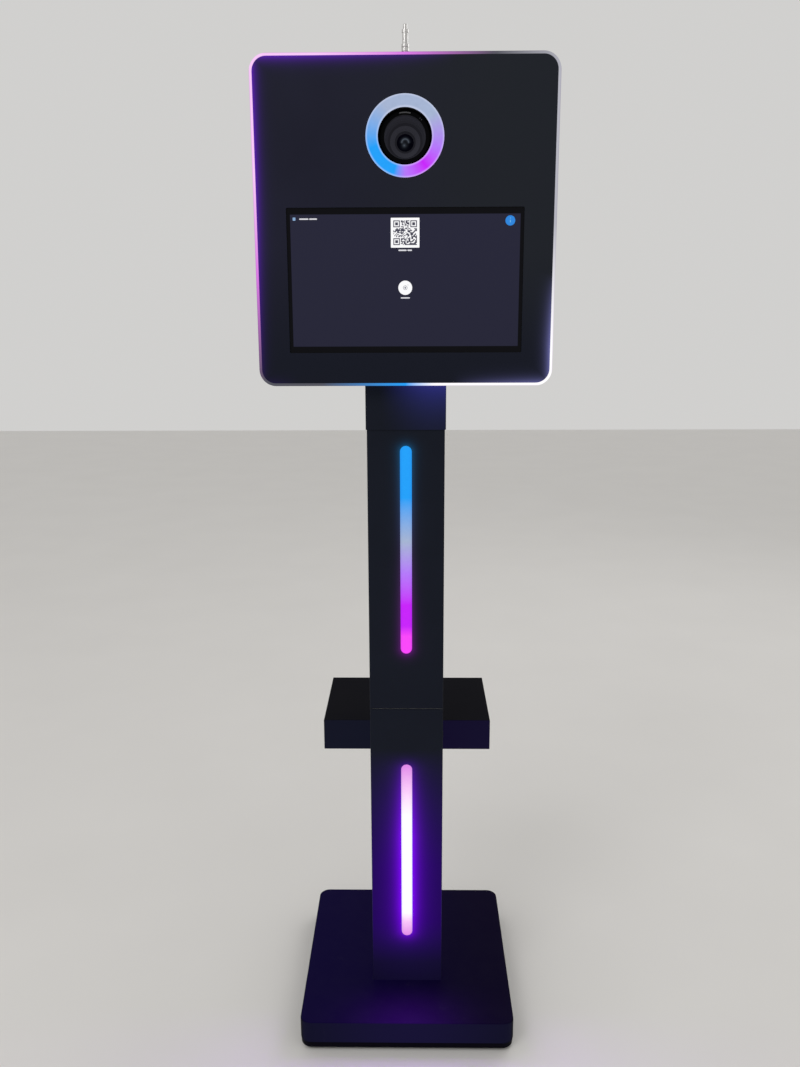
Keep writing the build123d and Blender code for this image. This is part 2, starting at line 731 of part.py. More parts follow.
def column_joiner():
    """Rectangular tube fixed in the lower column, over which the upper column slides."""
    half = COLUMN_IN_W / 2 - MOVE_GAP
    tube = block((-half, half), (JOINER_FRONT, JOINER_REAR), (JOINER_LOW, JOINER_HIGH))
    tube = chamfer(tube.faces().sort_by(Axis.Z)[-1].edges(), EDGE_BREAK)
    wall = JOINER_WALL
    inside = (JOINER_FRONT + wall, JOINER_REAR - wall)
    tube -= block((-half + wall, half - wall), inside, (JOINER_LOW, JOINER_HIGH))
    for z in JOINER_SCREW_Z:
        tube -= rod_x(JOINER_SCREW_R, COLUMN_Y, z, -half, half)
    for x in (-KNOB_X, KNOB_X):
        tube -= rod_y(KNOB_STUD_R + RUN_GAP, x, SHELF_KNOB_Z, JOINER_REAR - wall, JOINER_REAR)
    return tube


def joiner_screws():
    """Button-head screws through the sides of the lower column into the joiner."""
    screws = []
    for side in (-1, 1):
        for z in JOINER_SCREW_Z:
            inside = side * (COLUMN_IN_W / 2 - MOVE_GAP - JOINER_WALL)
            outside = side * COLUMN_W / 2
            tip = side * (COLUMN_W / 2 + JOINER_HEAD_T)
            shank = rod_x(JOINER_SCREW_R - RUN_GAP, COLUMN_Y, z, *sorted((inside, outside)))
            head = rod_x(JOINER_HEAD_R, COLUMN_Y, z, *sorted((outside, tip)))
            screws.append(shank + head)
    return group(screws)


# --- Hand knobs ---

def hand_knob(x, z, seat, tip):
    """Lobed knob along Y: its hub starts at the seat and its stud reaches forward to the tip."""
    disc = Circle(KNOB_R - KNOB_LOBE_R / 2)
    for i in range(KNOB_LOBES):
        angle = 2 * math.pi * i / KNOB_LOBES
        reach = KNOB_R - KNOB_LOBE_R
        disc += Pos(reach * math.sin(angle), reach * math.cos(angle)) * Circle(KNOB_LOBE_R)
        between = angle + math.pi / KNOB_LOBES
        disc -= Pos(KNOB_R * math.sin(between), KNOB_R * math.cos(between)) * Circle(KNOB_NOTCH_R)
    grip_front = seat + KNOB_HUB_T
    grip = Pos(x, 0, z) * slab_xz(disc, grip_front, grip_front + KNOB_T)
    cap = rod_y(KNOB_CAP_R, x, z, grip_front + KNOB_T, grip_front + KNOB_T + KNOB_CAP_T)
    hub = rod_y(KNOB_HUB_R, x, z, seat, grip_front)
    return grip + cap + hub + rod_y(KNOB_STUD_R, x, z, tip, seat)


def column_knob(x):
    """Clamp knob of the upper column: its tip presses on the joiner."""
    return hand_knob(x, COLUMN_KNOB_Z, COLUMN_REAR + WELD_NUT_T + MOVE_GAP, JOINER_REAR + MOVE_GAP)


def sleeve_knob(x):
    """Clamp knob of the neck sleeve: its tip presses on the upper column."""
    return hand_knob(x, SLEEVE_KNOB_Z, SLEEVE_REAR + WELD_NUT_T + MOVE_GAP, COLUMN_REAR + MOVE_GAP)


def shelf_knob(x):
    """Knob that clamps the shelf bracket to the column, screwed into the joiner."""
    return hand_knob(x, SHELF_KNOB_Z, COLUMN_REAR + BRACKET_PLATE_T + MOVE_GAP, JOINER_REAR - JOINER_WALL)


def weld_nut(x, z, seat):
    """Round nut welded round a knob's stud."""
    nut = rod_y(WELD_NUT_R, x, z, seat, seat + WELD_NUT_T)
    return nut - rod_y(KNOB_STUD_R + RUN_GAP, x, z, seat, seat + WELD_NUT_T)


# --- Column pieces that differ between the two lengths ---

def lower_cover_span():
    """Height range of the lower column's cover."""
    return BASE_TOP + FIT_GAP, SEAM_Z - EDGE_BREAK


def upper_cover_span():
    """Height range of the upper column's cover."""
    return UPPER_LOW + EDGE_BREAK, COLUMN_TOP


def lower_column_shell():
    """Front and sides of the lower column, with the tapped plate welded in at its foot."""
    shell = column_shell(BASE_TOP, SEAM_Z, LOWER_SLOT, lower_cover_span(), True) + column_foot_plate()
    for z in JOINER_SCREW_Z:
        shell -= rod_x(JOINER_SCREW_R + HOLE_GAP, COLUMN_Y, z, -COLUMN_W / 2, COLUMN_W / 2)
    return shell


def upper_column_shell():
    """Front and sides of the upper column."""
    return column_shell(UPPER_LOW, COLUMN_TOP, UPPER_SLOT, upper_cover_span(), False)


def lower_column_cover():
    """Back of the lower column, with clearance holes for the shelf knobs."""
    low, high = lower_cover_span()
    return column_cover(low, high, SHELF_KNOB_Z, KNOB_STUD_R + HOLE_GAP)


def upper_column_cover():
    """Back of the upper column, with a weld nut for each column knob."""
    low, high = upper_cover_span()
    cover = column_cover(low, high, COLUMN_KNOB_Z, KNOB_STUD_R + RUN_GAP)
    for x in (-KNOB_X, KNOB_X):
        cover += weld_nut(x, COLUMN_KNOB_Z, COLUMN_REAR)
    return cover


# --- Printer shelf ---

def shelf_bracket():
    """Back plate with two tapered arms that carry the shelf."""
    low = SHELF_TOP - SHEET - ARM_ROOT_H
    high = SHELF_TOP - SHEET - MOVE_GAP
    half = BRACKET_PLATE_W / 2
    front = COLUMN_REAR
    back = front + BRACKET_PLATE_T
    bracket = block((-half, half), (front, back), (low, high))
    tip = back + ARM_LENGTH
    profile = Polygon((back, low), (tip, high - ARM_TIP_H), (tip, high), (back, high), align=None)
    for side in (-1, 1):
        left = side * ARM_X - ARM_T / 2
        bracket += slab_yz(profile, left, left + ARM_T)
        bracket -= rod_y(KNOB_STUD_R + HOLE_GAP, side * KNOB_X, SHELF_KNOB_Z, front, back)
    return bracket


def printer_shelf():
    """Folded shelf, open below, notched round the bracket, with guides that straddle its arms."""
    front = COLUMN_REAR + MOVE_GAP
    back = front + SHELF_D
    low = SHELF_TOP - SHELF_H
    half = SHELF_W / 2
    shelf = block((-half, half), (front, back), (low, SHELF_TOP))
    upright = shelf.edges().filter_by(Axis.Z)
    shelf = fillet(list(upright) + list(shelf.faces().sort_by(Axis.Z)[-1].edges()), SHELF_EDGE_R)
    shelf -= block((-half + SHEET, half - SHEET), (front + SHEET, back - SHEET), (low, SHELF_TOP - SHEET))
    notch = BRACKET_PLATE_W / 2 + SHELF_NOTCH_GAP
    shelf -= block((-notch, notch), (front, front + SHEET), (low, SHELF_TOP - SHEET))
    top = SHELF_TOP - SHEET
    along = tuple(front + SHELF_D * share for share in SHELF_GUIDE_SPAN)
    for side in (-1, 1):
        for outward in (-1, 1):
            gap = ARM_T / 2 + 2 * MOVE_GAP + SHELF_GUIDE_T / 2
            x = side * ARM_X + outward * gap
            span = (x - SHELF_GUIDE_T / 2, x + SHELF_GUIDE_T / 2)
            shelf += block(span, along, (top - SHELF_GUIDE_H, top))
    return shelf


# --- Neck sleeve ---

def sleeve_bolt_places():
    """Centres of the bolts that hold the sleeve's flange to the head."""
    return [(sx * SLEEVE_BOLT_X, COLUMN_Y + sy * SLEEVE_BOLT_Y) for sx in (-1, 1) for sy in (-1, 1)]


def head_sleeve():
    """Neck of the head: a rectangular sleeve over the column with a bolted flange on top."""
    inner_w = COLUMN_W + 2 * MOVE_GAP
    inner_d = COLUMN_D + 2 * MOVE_GAP
    radius = COLUMN_CORNER_R + MOVE_GAP
    place = Pos(0, COLUMN_Y)
    outer = RectangleRounded(inner_w + 2 * SLEEVE_WALL, inner_d + 2 * SLEEVE_WALL, radius + SLEEVE_WALL)
    outer = place * outer
    sleeve = slab_xy(outer, SLEEVE_LOW, SLEEVE_TOP)
    sleeve -= slab_xy(place * RectangleRounded(inner_w, inner_d, radius), SLEEVE_LOW, SLEEVE_TOP)
    flange = place * RectangleRounded(SLEEVE_FLANGE_W, SLEEVE_FLANGE_D, SLEEVE_FLANGE_R)
    flange = slab_xy(flange, SLEEVE_TOP, HOUSING_LOW)
    flange -= slab_xy(neck_hole(), SLEEVE_TOP, HOUSING_LOW)
    for x, y in sleeve_bolt_places():
        flange -= rod_z(SLEEVE_BOLT_R + HOLE_GAP, x, y, SLEEVE_TOP, HOUSING_LOW)
    sleeve += flange
    for x in (-KNOB_X, KNOB_X):
        sleeve -= rod_y(KNOB_STUD_R + RUN_GAP, x, SLEEVE_KNOB_Z, COLUMN_REAR, SLEEVE_REAR)
        sleeve += weld_nut(x, SLEEVE_KNOB_Z, SLEEVE_REAR)
    return sleeve


def neck_hole():
    """Way for the leads from the column into the head."""
    width = COLUMN_W - 2 * NECK_MARGIN_X
    depth = COLUMN_D - 2 * NECK_MARGIN_Y
    return Pos(0, COLUMN_Y) * RectangleRounded(width, depth, NECK_HOLE_R)


def sleeve_bolts():
    """Bolts up through the flange and the head's floor, with their nuts."""
    nut_top = FLOOR_Z + SLEEVE_NUT_T
    pieces = []
    for x, y in sleeve_bolt_places():
        head = rod_z(SLEEVE_BOLT_HEAD_R, x, y, SLEEVE_TOP - SLEEVE_BOLT_HEAD_T, SLEEVE_TOP)
        shank = rod_z(SLEEVE_BOLT_R - RUN_GAP, x, y, SLEEVE_TOP, nut_top + SLEEVE_BOLT_TIP)
        pieces.append(head + shank)
        nut = slab_xy(Pos(x, y) * RegularPolygon(SLEEVE_NUT_R, HEX), FLOOR_Z, nut_top)
        pieces.append(nut - rod_z(SLEEVE_BOLT_R, x, y, FLOOR_Z, nut_top))
    return group(pieces)


# --- Head: skin ---

def stud_places():
    """Centres of the studs round the edge of the front panel."""
    x = PANEL_W / 2 - STUD_INSET
    half_h = PANEL_H / 2 - STUD_INSET
    level = [(sx * x * STUD_LEVEL_SHARE, HEAD_Z + sz * half_h) for sx in (-1, 1) for sz in (-1, 1)]
    half_h *= STUD_UPRIGHT_SHARE
    upright = [(sx * x, HEAD_Z + sz * half_h) for sx in (-1, 1) for sz in (-1, 1)]
    return level + upright


def front_panel():
    """Steel face plate with the display window, the ring-light hole and welded studs."""
    panel = slab_xz(outline(PANEL_W, PANEL_H, PANEL_R), HEAD_FRONT, BAND_FRONT)
    panel = fillet(panel.faces().sort_by(Axis.Y)[0].edges(), PANEL_EDGE_R)
    window = Pos(0, SCREEN_Z) * RectangleRounded(WINDOW_W, WINDOW_H, WINDOW_R)
    panel -= slab_xz(window, HEAD_FRONT, BAND_FRONT)
    panel -= rod_y(RING_R + FIT_GAP, 0, LENS_Z, HEAD_FRONT, BAND_FRONT)
    for x, z in stud_places():
        panel += rod_y(STUD_R, x, z, BAND_FRONT, HOUSING_FRONT + SHEET + NUT_T + STUD_TIP)
    for clamp in monitor_clamps():
        panel += clamp
    return panel


def panel_nuts():
    """Nuts on the panel's studs, inside the head."""
    seat = HOUSING_FRONT + SHEET
    nuts = []
    for x, z in stud_places():
        nut = slab_xz(Pos(x, z) * RegularPolygon(NUT_R, HEX), seat, seat + NUT_T)
        nuts.append(nut - rod_y(STUD_R + RUN_GAP, x, z, seat, seat + NUT_T))
    return group(nuts)


def edge_light_band():
    """Clear-edged acrylic frame between the panel and the housing: its rim is the lit edge of the head."""
    outer = outline(PANEL_W + 2 * BAND_OUT, PANEL_H + 2 * BAND_OUT, PANEL_R + BAND_OUT)
    band = slab_xz(outer - collar_size(0), BAND_FRONT, HOUSING_FRONT)
    for x, z in stud_places():
        band -= rod_y(STUD_R + HOLE_GAP, x, z, BAND_FRONT, HOUSING_FRONT)
    return band


def collar_size(inset):
    """Rounded loop inside the acrylic frame, set in from its inner edge."""
    width = PANEL_W + 2 * BAND_OUT - 2 * BAND_RIM - 2 * inset
    height = PANEL_H + 2 * BAND_OUT - 2 * BAND_RIM - 2 * inset
    return outline(width, height, BAND_INNER_R - inset)


def edge_led_strip():
    """Light strip round the housing's collar, with chips that face the acrylic frame."""
    front = BAND_FRONT + FIT_GAP
    ring = collar_size(STRIP_INSET) - collar_size(STRIP_INSET + STRIP_T)
    pieces = [slab_xz(ring, front, HOUSING_FRONT)]
    half_w = PANEL_W / 2 + BAND_OUT - BAND_RIM - STRIP_INSET
    half_h = PANEL_H / 2 + BAND_OUT - BAND_RIM - STRIP_INSET
    chip_y = (front + EDGE_CHIP_MARGIN, HOUSING_FRONT - EDGE_CHIP_MARGIN)
    clear = BAND_INNER_R
    for x in steps_between(-half_w + clear, half_w - clear, EDGE_CHIP_PITCH):
        for side in (-1, 1):
            z = sorted((HEAD_Z + side * half_h, HEAD_Z + side * (half_h + CHIP_T)))
            pieces.append(block((x - CHIP / 2, x + CHIP / 2), chip_y, z))
    for z in steps_between(HEAD_Z - half_h + clear, HEAD_Z + half_h - clear, EDGE_CHIP_PITCH):
        for side in (-1, 1):
            x = sorted((side * half_w, side * (half_w + CHIP_T)))
            pieces.append(block(x, chip_y, (z - CHIP / 2, z + CHIP / 2)))
    return group(pieces)


def vent_slots_side():
    """Columns of short vent slots high on a side wall, in Y and Z."""
    slots = []
    for y in steps_between(*VENT_Y, VENT_PITCH):
        slots.append(Pos(y, HOUSING_TOP - VENT_DROP) * SlotOverall(VENT_LEN, VENT_W, rotation=90))
    return slots


def head_housing():
    """Folded steel box: front flange with a collar, four walls and a rear flange round the door opening."""
    housing = slab_xz(outline(HOUSING_W, HOUSING_H, HOUSING_R), HOUSING_FRONT, HOUSING_REAR)
    inside = outline(HOUSING_W - 2 * SHEET, HOUSING_H - 2 * SHEET, HOUSING_R - SHEET)
    housing -= slab_xz(inside, HOUSING_FRONT + SHEET, HOUSING_REAR - SHEET)
    opening = collar_size(COLLAR_INSET + COLLAR_T)
    housing -= slab_xz(opening, HOUSING_FRONT, HOUSING_FRONT + SHEET)
    housing += slab_xz(collar_size(COLLAR_INSET) - opening, BAND_FRONT + FIT_GAP, HOUSING_FRONT)
    door_hole = outline(HOUSING_W - 2 * REAR_FLANGE, HOUSING_H - 2 * REAR_FLANGE, DOOR_HOLE_R)
    housing -= slab_xz(door_hole, HOUSING_REAR - SHEET, HOUSING_REAR)
    for x, z in stud_places():
        housing -= rod_y(STUD_R + HOLE_GAP, x, z, HOUSING_FRONT, HOUSING_FRONT + SHEET)
    housing -= slab_xy(neck_hole(), HOUSING_LOW, FLOOR_Z)
    for x, y in sleeve_bolt_places():
        housing -= rod_z(SLEEVE_BOLT_R + HOLE_GAP, x, y, HOUSING_LOW, FLOOR_Z)
    for slot in vent_slots_side():
        housing -= slab_yz(slot, -HOUSING_W / 2, -HOUSING_W / 2 + SHEET)
        housing -= slab_yz(slot, HOUSING_W / 2 - SHEET, HOUSING_W / 2)
    housing -= rod_z(SPIGOT_TIP_R + HOLE_GAP, 0, SPIGOT_Y, HOUSING_TOP - SHEET, HOUSING_TOP)
    inlet = Pos(INLET_X, INLET_Y) * Rectangle(INLET_SIZE[0] + FIT_GAP, INLET_SIZE[1] + FIT_GAP)
    rocker = Pos(ROCKER_X, INLET_Y) * Rectangle(ROCKER_SIZE[0] + FIT_GAP, ROCKER_SIZE[1] + FIT_GAP)
    return housing - slab_xy(inlet + rocker, HOUSING_LOW, FLOOR_Z)


# --- Head: rear door ---

def door_slots():
    """Vent pattern of the door: a round grille over the fan and a low row of intake slots."""
    slots = []
    reach = FAN_SIZE / 2 - GRILLE_MARGIN
    for z in steps_between(-reach, reach, GRILLE_PITCH):
        length = 2 * math.sqrt(reach * reach - z * z)
        slots.append(Pos(0, FAN_Z + z) * SlotOverall(max(length, GRILLE_SLOT_MIN), GRILLE_SLOT_W))
    for x in steps_between(-INTAKE_REACH, INTAKE_REACH, VENT_PITCH):
        slots.append(Pos(x, HEAD_Z - INTAKE_DROP) * SlotOverall(INTAKE_LEN, VENT_W, rotation=90))
    return slots


def rear_door():
    """Flat steel door over the rear opening, with a stiffening rib, vents and the lock's hole."""
    door = slab_xz(outline(DOOR_W, DOOR_H, DOOR_R), DOOR_FRONT, DOOR_REAR)
    door = fillet(door.faces().sort_by(Axis.Y)[-1].edges(), DOOR_EDGE_R)
    rib_w = HOUSING_W - 2 * REAR_FLANGE - 2 * DOOR_RIB_GAP
    rib_h = HOUSING_H - 2 * REAR_FLANGE - 2 * DOOR_RIB_GAP
    rib = outline(rib_w, rib_h, DOOR_RIB_R)
    rib -= outline(rib_w - 2 * DOOR_RIB_T, rib_h - 2 * DOOR_RIB_T, DOOR_RIB_R - DOOR_RIB_T)
    door += slab_xz(rib, DOOR_FRONT - DOOR_RIB, DOOR_FRONT)
    cam_sweep = (HEAD_Z - CAM_REACH - CAM_GAP, HEAD_Z + CAM_W)
    door -= block((LOCK_X, HOUSING_W / 2), (DOOR_FRONT - DOOR_RIB, DOOR_FRONT), cam_sweep)
    door -= rod_y(LOCK_R + RUN_GAP, LOCK_X, HEAD_Z, DOOR_FRONT, DOOR_REAR)
    for slot in door_slots():
        door -= slab_xz(slot, DOOR_FRONT, DOOR_REAR)
    return door


def knuckle_spans(z, own):
    """Height spans of one hinge's knuckles: the even ones or the odd ones."""
    pitch = HINGE_LEN / HINGE_KNUCKLES
    low = z - HINGE_LEN / 2
    starts = [low + i * pitch for i in range(own, HINGE_KNUCKLES, 2)]
    return [(start + FIT_GAP, start + pitch - FIT_GAP) for start in starts]


def hinge_places():
    """Heights of the door's two hinges."""
    return HEAD_Z - HINGE_Z, HEAD_Z + HINGE_Z


def housing_hinge_leaves():
    """Hinge leaves on the side wall of the housing, with the knuckles that hold the pins."""
    wall = -HOUSING_W / 2
    leaves = []
    for z in hinge_places():
        span = (z - HINGE_LEN / 2, z + HINGE_LEN / 2)
        flat = (HINGE_Y - KNUCKLE_R - LEAF_W, HINGE_Y - KNUCKLE_R - MOVE_GAP)
        leaf = block((wall - LEAF_T, wall), flat, span)
        for low, high in knuckle_spans(z, 0):
            reach = (HINGE_Y - KNUCKLE_R - KNUCKLE_WEB, HINGE_Y)
            web = block((wall - LEAF_T, wall - FIT_GAP), reach, (low, high))
            leaf += web + rod_z(KNUCKLE_R, HINGE_X, HINGE_Y, low, high)
            leaf -= rod_z(PIN_R, HINGE_X, HINGE_Y, low, high)
        leaves.append(leaf)
    return group(leaves)


def door_hinge_leaves():
    """Hinge leaves on the back of the door, with the knuckles that turn on the pins."""
    leaves = []
    for z in hinge_places():
        span = (z - HINGE_LEN / 2, z + HINGE_LEN / 2)
        flat = (HINGE_X + KNUCKLE_R + MOVE_GAP, HINGE_X + KNUCKLE_R + LEAF_W)
        thick = (DOOR_REAR, DOOR_REAR + LEAF_T)
        leaf = block(flat, thick, span)
        for low, high in knuckle_spans(z, 1):
            web = block((HINGE_X, HINGE_X + KNUCKLE_R + KNUCKLE_WEB), thick, (low, high))
            leaf += web + rod_z(KNUCKLE_R, HINGE_X, HINGE_Y, low, high)
            leaf -= rod_z(PIN_R + RUN_GAP, HINGE_X, HINGE_Y, low, high)
        leaves.append(leaf)
    return group(leaves)


def hinge_pins():
    """Steel pins of the two hinges."""
    pins = []
    for z in hinge_places():
        low = z - HINGE_LEN / 2
        pins.append(rod_z(PIN_R, HINGE_X, HINGE_Y, low, low + HINGE_LEN))
    return group(pins)


def hinge_frame_halves():
    """Fixed halves of the two hinges with their pins."""
    return group([housing_hinge_leaves(), hinge_pins()])


def cam_lock():
    """Lock plug with its cam hanging down: turned a quarter, the cam reaches behind the rear flange."""
    plug_front = HOUSING_REAR - SHEET - CAM_GAP - CAM_T
    plug = rod_y(LOCK_R, LOCK_X, HEAD_Z, plug_front, DOOR_REAR)
    face_rear = DOOR_REAR + LOCK_HEAD_T
    face = rod_y(LOCK_HEAD_R, LOCK_X, HEAD_Z, DOOR_REAR + MOVE_GAP, face_rear)
    face = fillet(face.faces().sort_by(Axis.Y)[-1].edges(), LOCK_EDGE_R)
    neck = rod_y(LOCK_R, LOCK_X, HEAD_Z, DOOR_REAR, DOOR_REAR + LOCK_NECK)
    key_x = (LOCK_X - KEY_W / 2, LOCK_X + KEY_W / 2)
    key = block(key_x, (face_rear - KEY_DEPTH, face_rear), (HEAD_Z - KEY_H / 2, HEAD_Z + KEY_H / 2))
    reach = (HEAD_Z - CAM_REACH, HEAD_Z + CAM_W / 2)
    cam = block((LOCK_X - CAM_W / 2, LOCK_X + CAM_W / 2), (plug_front, plug_front + CAM_T), reach)
    return plug + neck + face + cam - key


# --- Display ---

def monitor_glass():
    """Cover glass of the touch display, behind the window of the panel."""
    width = WINDOW_W + 2 * GLASS_BORDER
    height = WINDOW_H + 2 * GLASS_BORDER
    pane = Pos(0, SCREEN_Z) * RectangleRounded(width, height, GLASS_R)
    return slab_xz(pane, BAND_FRONT, BAND_FRONT + GLASS_T)


def display_panel():
    """Active panel of the display, bonded behind the glass."""
    front = BAND_FRONT + GLASS_T
    return slab_xz(Pos(0, SCREEN_Z) * Rectangle(SCREEN_W, SCREEN_H), front, front + LCD_T)


def monitor_case():
    """Rear case of the display: a tray round the panel with a raised back box."""
    front = BAND_FRONT + GLASS_T
    middle = front + MONITOR_D / 2
    rear = front + MONITOR_D
    width = WINDOW_W + 2 * (GLASS_BORDER - MONITOR_INSET)
    height = WINDOW_H + 2 * (GLASS_BORDER - MONITOR_INSET)
    place = Pos(0, SCREEN_Z)
    case = slab_xz(place * RectangleRounded(width, height, GLASS_R), front, middle)
    seat = place * Rectangle(SCREEN_W + 2 * LCD_GAP, SCREEN_H + 2 * LCD_GAP)
    case -= slab_xz(seat, front, front + LCD_T + FIT_GAP)
    box_w, box_h = (size * share for size, share in zip((width, height), MONITOR_BOX_SHARES))
    back = slab_xz(place * RectangleRounded(box_w, box_h, MONITOR_BOX_R), middle, rear)
    case += fillet(back.faces().sort_by(Axis.Y)[-1].edges(), MONITOR_BOX_EDGE_R)
    vent_z = SCREEN_Z + height * MONITOR_VENT_SHARE
    for x in steps_between(-MONITOR_VENT_REACH, MONITOR_VENT_REACH, MONITOR_VENT_PITCH):
        slot = Pos(x, vent_z) * SlotOverall(MONITOR_VENT_LEN, MONITOR_VENT_W, rotation=90)
        case -= slab_xz(slot, rear - MONITOR_WALL, rear)
    return case


def monitor_clamps():
    """Four angle clamps, welded to the panel's back, that reach behind the display's case."""
    half = (WINDOW_W + 2 * GLASS_BORDER) / 2
    rear = BAND_FRONT + GLASS_T + MONITOR_D / 2
    clamps = []
    for side in (-1, 1):
        for z in (SCREEN_Z - WINDOW_H / 3, SCREEN_Z + WINDOW_H / 3):
            inner = side * (half + CLAMP_SIDE_GAP)
            outer = inner + side * SHEET
            height = (z - CLAMP_W / 2, z + CLAMP_W / 2)
            tab = block(sorted((side * (half - CLAMP_REACH), outer)), (rear, rear + SHEET), height)
            clamps.append(tab + block(sorted((inner, outer)), (BAND_FRONT, rear + SHEET), height))
    return clamps


# --- Ring light ---

def ring_light_diffuser():
    """Opal acrylic ring, flush in the panel, with a lip behind it."""
    face = rod_y(RING_R, 0, LENS_Z, HEAD_FRONT, BAND_FRONT)
    lip = rod_y(RING_R + RING_LIP, 0, LENS_Z, BAND_FRONT, RING_LIP_REAR)
    return face + lip - rod_y(RING_HOLE_R, 0, LENS_Z, HEAD_FRONT, BAND_FRONT + RING_T)


def ring_light_pan():
    """Black pan behind the ring: outer wall, back plate and the tube round the lens."""
    front = RING_LIP_REAR
    back = front + RING_PAN_D
    pan = rod_y(RING_R + RING_LIP, 0, LENS_Z, front, back)
    trough = rod_y(RING_R + RING_LIP - SHEET, 0, LENS_Z, front, back - SHEET)
    pan -= trough - rod_y(RING_TUBE_R, 0, LENS_Z, front, back)
    return pan - rod_y(RING_HOLE_R, 0, LENS_Z, front, back)


def ring_light_board():
    """Ring circuit board on the pan's back plate, with its chips in a circle."""
    back = RING_LIP_REAR + RING_PAN_D - SHEET
    seat = back - RING_BOARD_T
    board = rod_y(RING_R + RING_LIP - SHEET - FIT_GAP, 0, LENS_Z, seat, back)
    pieces = [board - rod_y(RING_TUBE_R + FIT_GAP, 0, LENS_Z, seat, back)]
    middle = (RING_HOLE_R + RING_R) / 2
    height = (middle - CHIP / 2, middle + CHIP / 2)
    chip = block((-CHIP / 2, CHIP / 2), (seat - CHIP_T, seat), height)
    for i in range(RING_CHIPS):
        pieces.append(Pos(0, 0, LENS_Z) * Rot(0, 360 * i / RING_CHIPS, 0) * chip)
    return group(pieces)


# --- Camera and lens ---

def camera_shelf():
    """Folded shelf across the head, screwed to both walls, with a slot for the tripod screw."""
    half = HOUSING_W / 2 - SHEET - FIT_GAP
    rear = HOUSING_REAR - SHEET - DOOR_RIB - CAMERA_SHELF_CLEAR
    front = rear - CAMERA_SHELF_D
    top = CAMERA_SHELF_TOP
    shelf = block((-half, half), (front, rear), (top - SHEET, top))
    for side in (-1, 1):
        edge = sorted((side * half, side * (half - SHEET)))
        shelf += block(edge, (front, rear), (top - CAMERA_SHELF_SIDE, top - SHEET))
    shelf += block((-half, half), (rear - SHEET, rear), (top - CAMERA_SHELF_LIP, top - SHEET))
    for side in (-1, 1):
        inner = side * (TRAY_W / 2 + MOVE_GAP)
        guide = sorted((inner, inner + side * SHEET))
        shelf += block(guide, (front + GUIDE_FRONT, rear - GUIDE_REAR), (top, top + TRAY_T))
    slot_w = 2 * (TRIPOD_R + MOVE_GAP)
    slot_length = slot_w + 2 * TRAY_TRAVEL + TRIPOD_SLOT_SLACK
    slot = Pos(0, TRIPOD_Y) * SlotOverall(slot_length, slot_w, rotation=90)
    shelf -= slab_xy(slot, top - SHEET, top)
    cable = Pos(CABLE_HOLE_X, (front + rear) / 2) * RectangleRounded(*CABLE_HOLE)
    return shelf - slab_xy(cable, top - SHEET, top)


def camera_tray():
    """Flat tray that slides fore and aft between the guides of the shelf."""
    low = CAMERA_SHELF_TOP + MOVE_GAP
    plate = Pos(0, TRIPOD_Y - TRAY_SHIFT) * RectangleRounded(TRAY_W, TRAY_D, TRAY_R)
    tray = slab_xy(plate, low, low + TRAY_T)
    return tray - rod_z(TRIPOD_R + MOVE_GAP, 0, TRIPOD_Y, low, low + TRAY_T)


def tripod_screw():
    """Camera screw with a knurled head under the shelf."""
    seat = CAMERA_SHELF_TOP - SHEET - MOVE_GAP
    low = seat - THUMB_T
    reach = THUMB_R + THUMB_FLUTE_OUT
    ring = Circle(THUMB_R)
    for i in range(THUMB_FLUTES):
        angle = 2 * math.pi * i / THUMB_FLUTES
        ring -= Pos(reach * math.cos(angle), reach * math.sin(angle)) * Circle(THUMB_FLUTE_R)
    head = Pos(0, TRIPOD_Y) * slab_xy(ring, low, seat)
    tail = rod_z(THUMB_TAIL_R, 0, TRIPOD_Y, low - THUMB_TAIL_T, low)
    return head + tail + rod_z(TRIPOD_R, 0, TRIPOD_Y, seat, CAMERA_LOW + TRIPOD_REACH)


def camera_body():
    """Camera: body with a grip, a viewfinder hump, a lens mount ring and a rear screen."""
    low = CAMERA_LOW
    top = low + CAMERA_H
    left = -CAMERA_W / 2
    back = MOUNT_Y + CAMERA_D
    body = block((left, -left), (MOUNT_Y, back), (low, top))
    body = fillet(body.edges().filter_by(Axis.Z), CAMERA_R)
    grip = block((left, left + GRIP_W), (MOUNT_Y - GRIP_D, MOUNT_Y + GRIP_BACK), (low, top - GRIP_DROP))
    body += fillet(grip.edges().filter_by(Axis.Z), GRIP_R)
    body += camera_hump(top)
    body += rod_y(CORE_R + LENS_TAIL, 0, LENS_Z, MOUNT_RING_FRONT, MOUNT_Y)
    screen_z = tuple(low + z for z in REAR_SCREEN_Z)
    screen = block(REAR_SCREEN_X, (back, back + REAR_SCREEN_T), screen_z)
    body += fillet(screen.edges().filter_by(Axis.Y), REAR_SCREEN_T)
    body -= rod_z(TRIPOD_R + RUN_GAP, 0, TRIPOD_Y, low, low + TRIPOD_HOLE)
    x, y, rim = button_place()
    return body - rod_z(BUTTON_R + RUN_GAP, x, y, rim - BUTTON_WELL, rim)


def camera_hump(top):
    """Viewfinder hump on the camera's top."""
    foot_front, foot_rear = (MOUNT_Y + y for y in HUMP_FOOT)
    roof_front, roof_rear = (MOUNT_Y + y for y in HUMP_ROOF)
    foot = top - HUMP_SINK
    roof = top + HUMP_H
    side = Polygon((foot_front, foot), (roof_front, roof), (roof_rear, roof), (foot_rear, foot), align=None)
    return slab_yz(side, -HUMP_W / 2, HUMP_W / 2)


def button_place():
    """Shutter button: its centre and the height of the grip's top."""
    x = (GRIP_W - CAMERA_W) / 2
    return x, MOUNT_Y - GRIP_D / 2 + BUTTON_SHIFT, CAMERA_LOW + CAMERA_H - GRIP_DROP


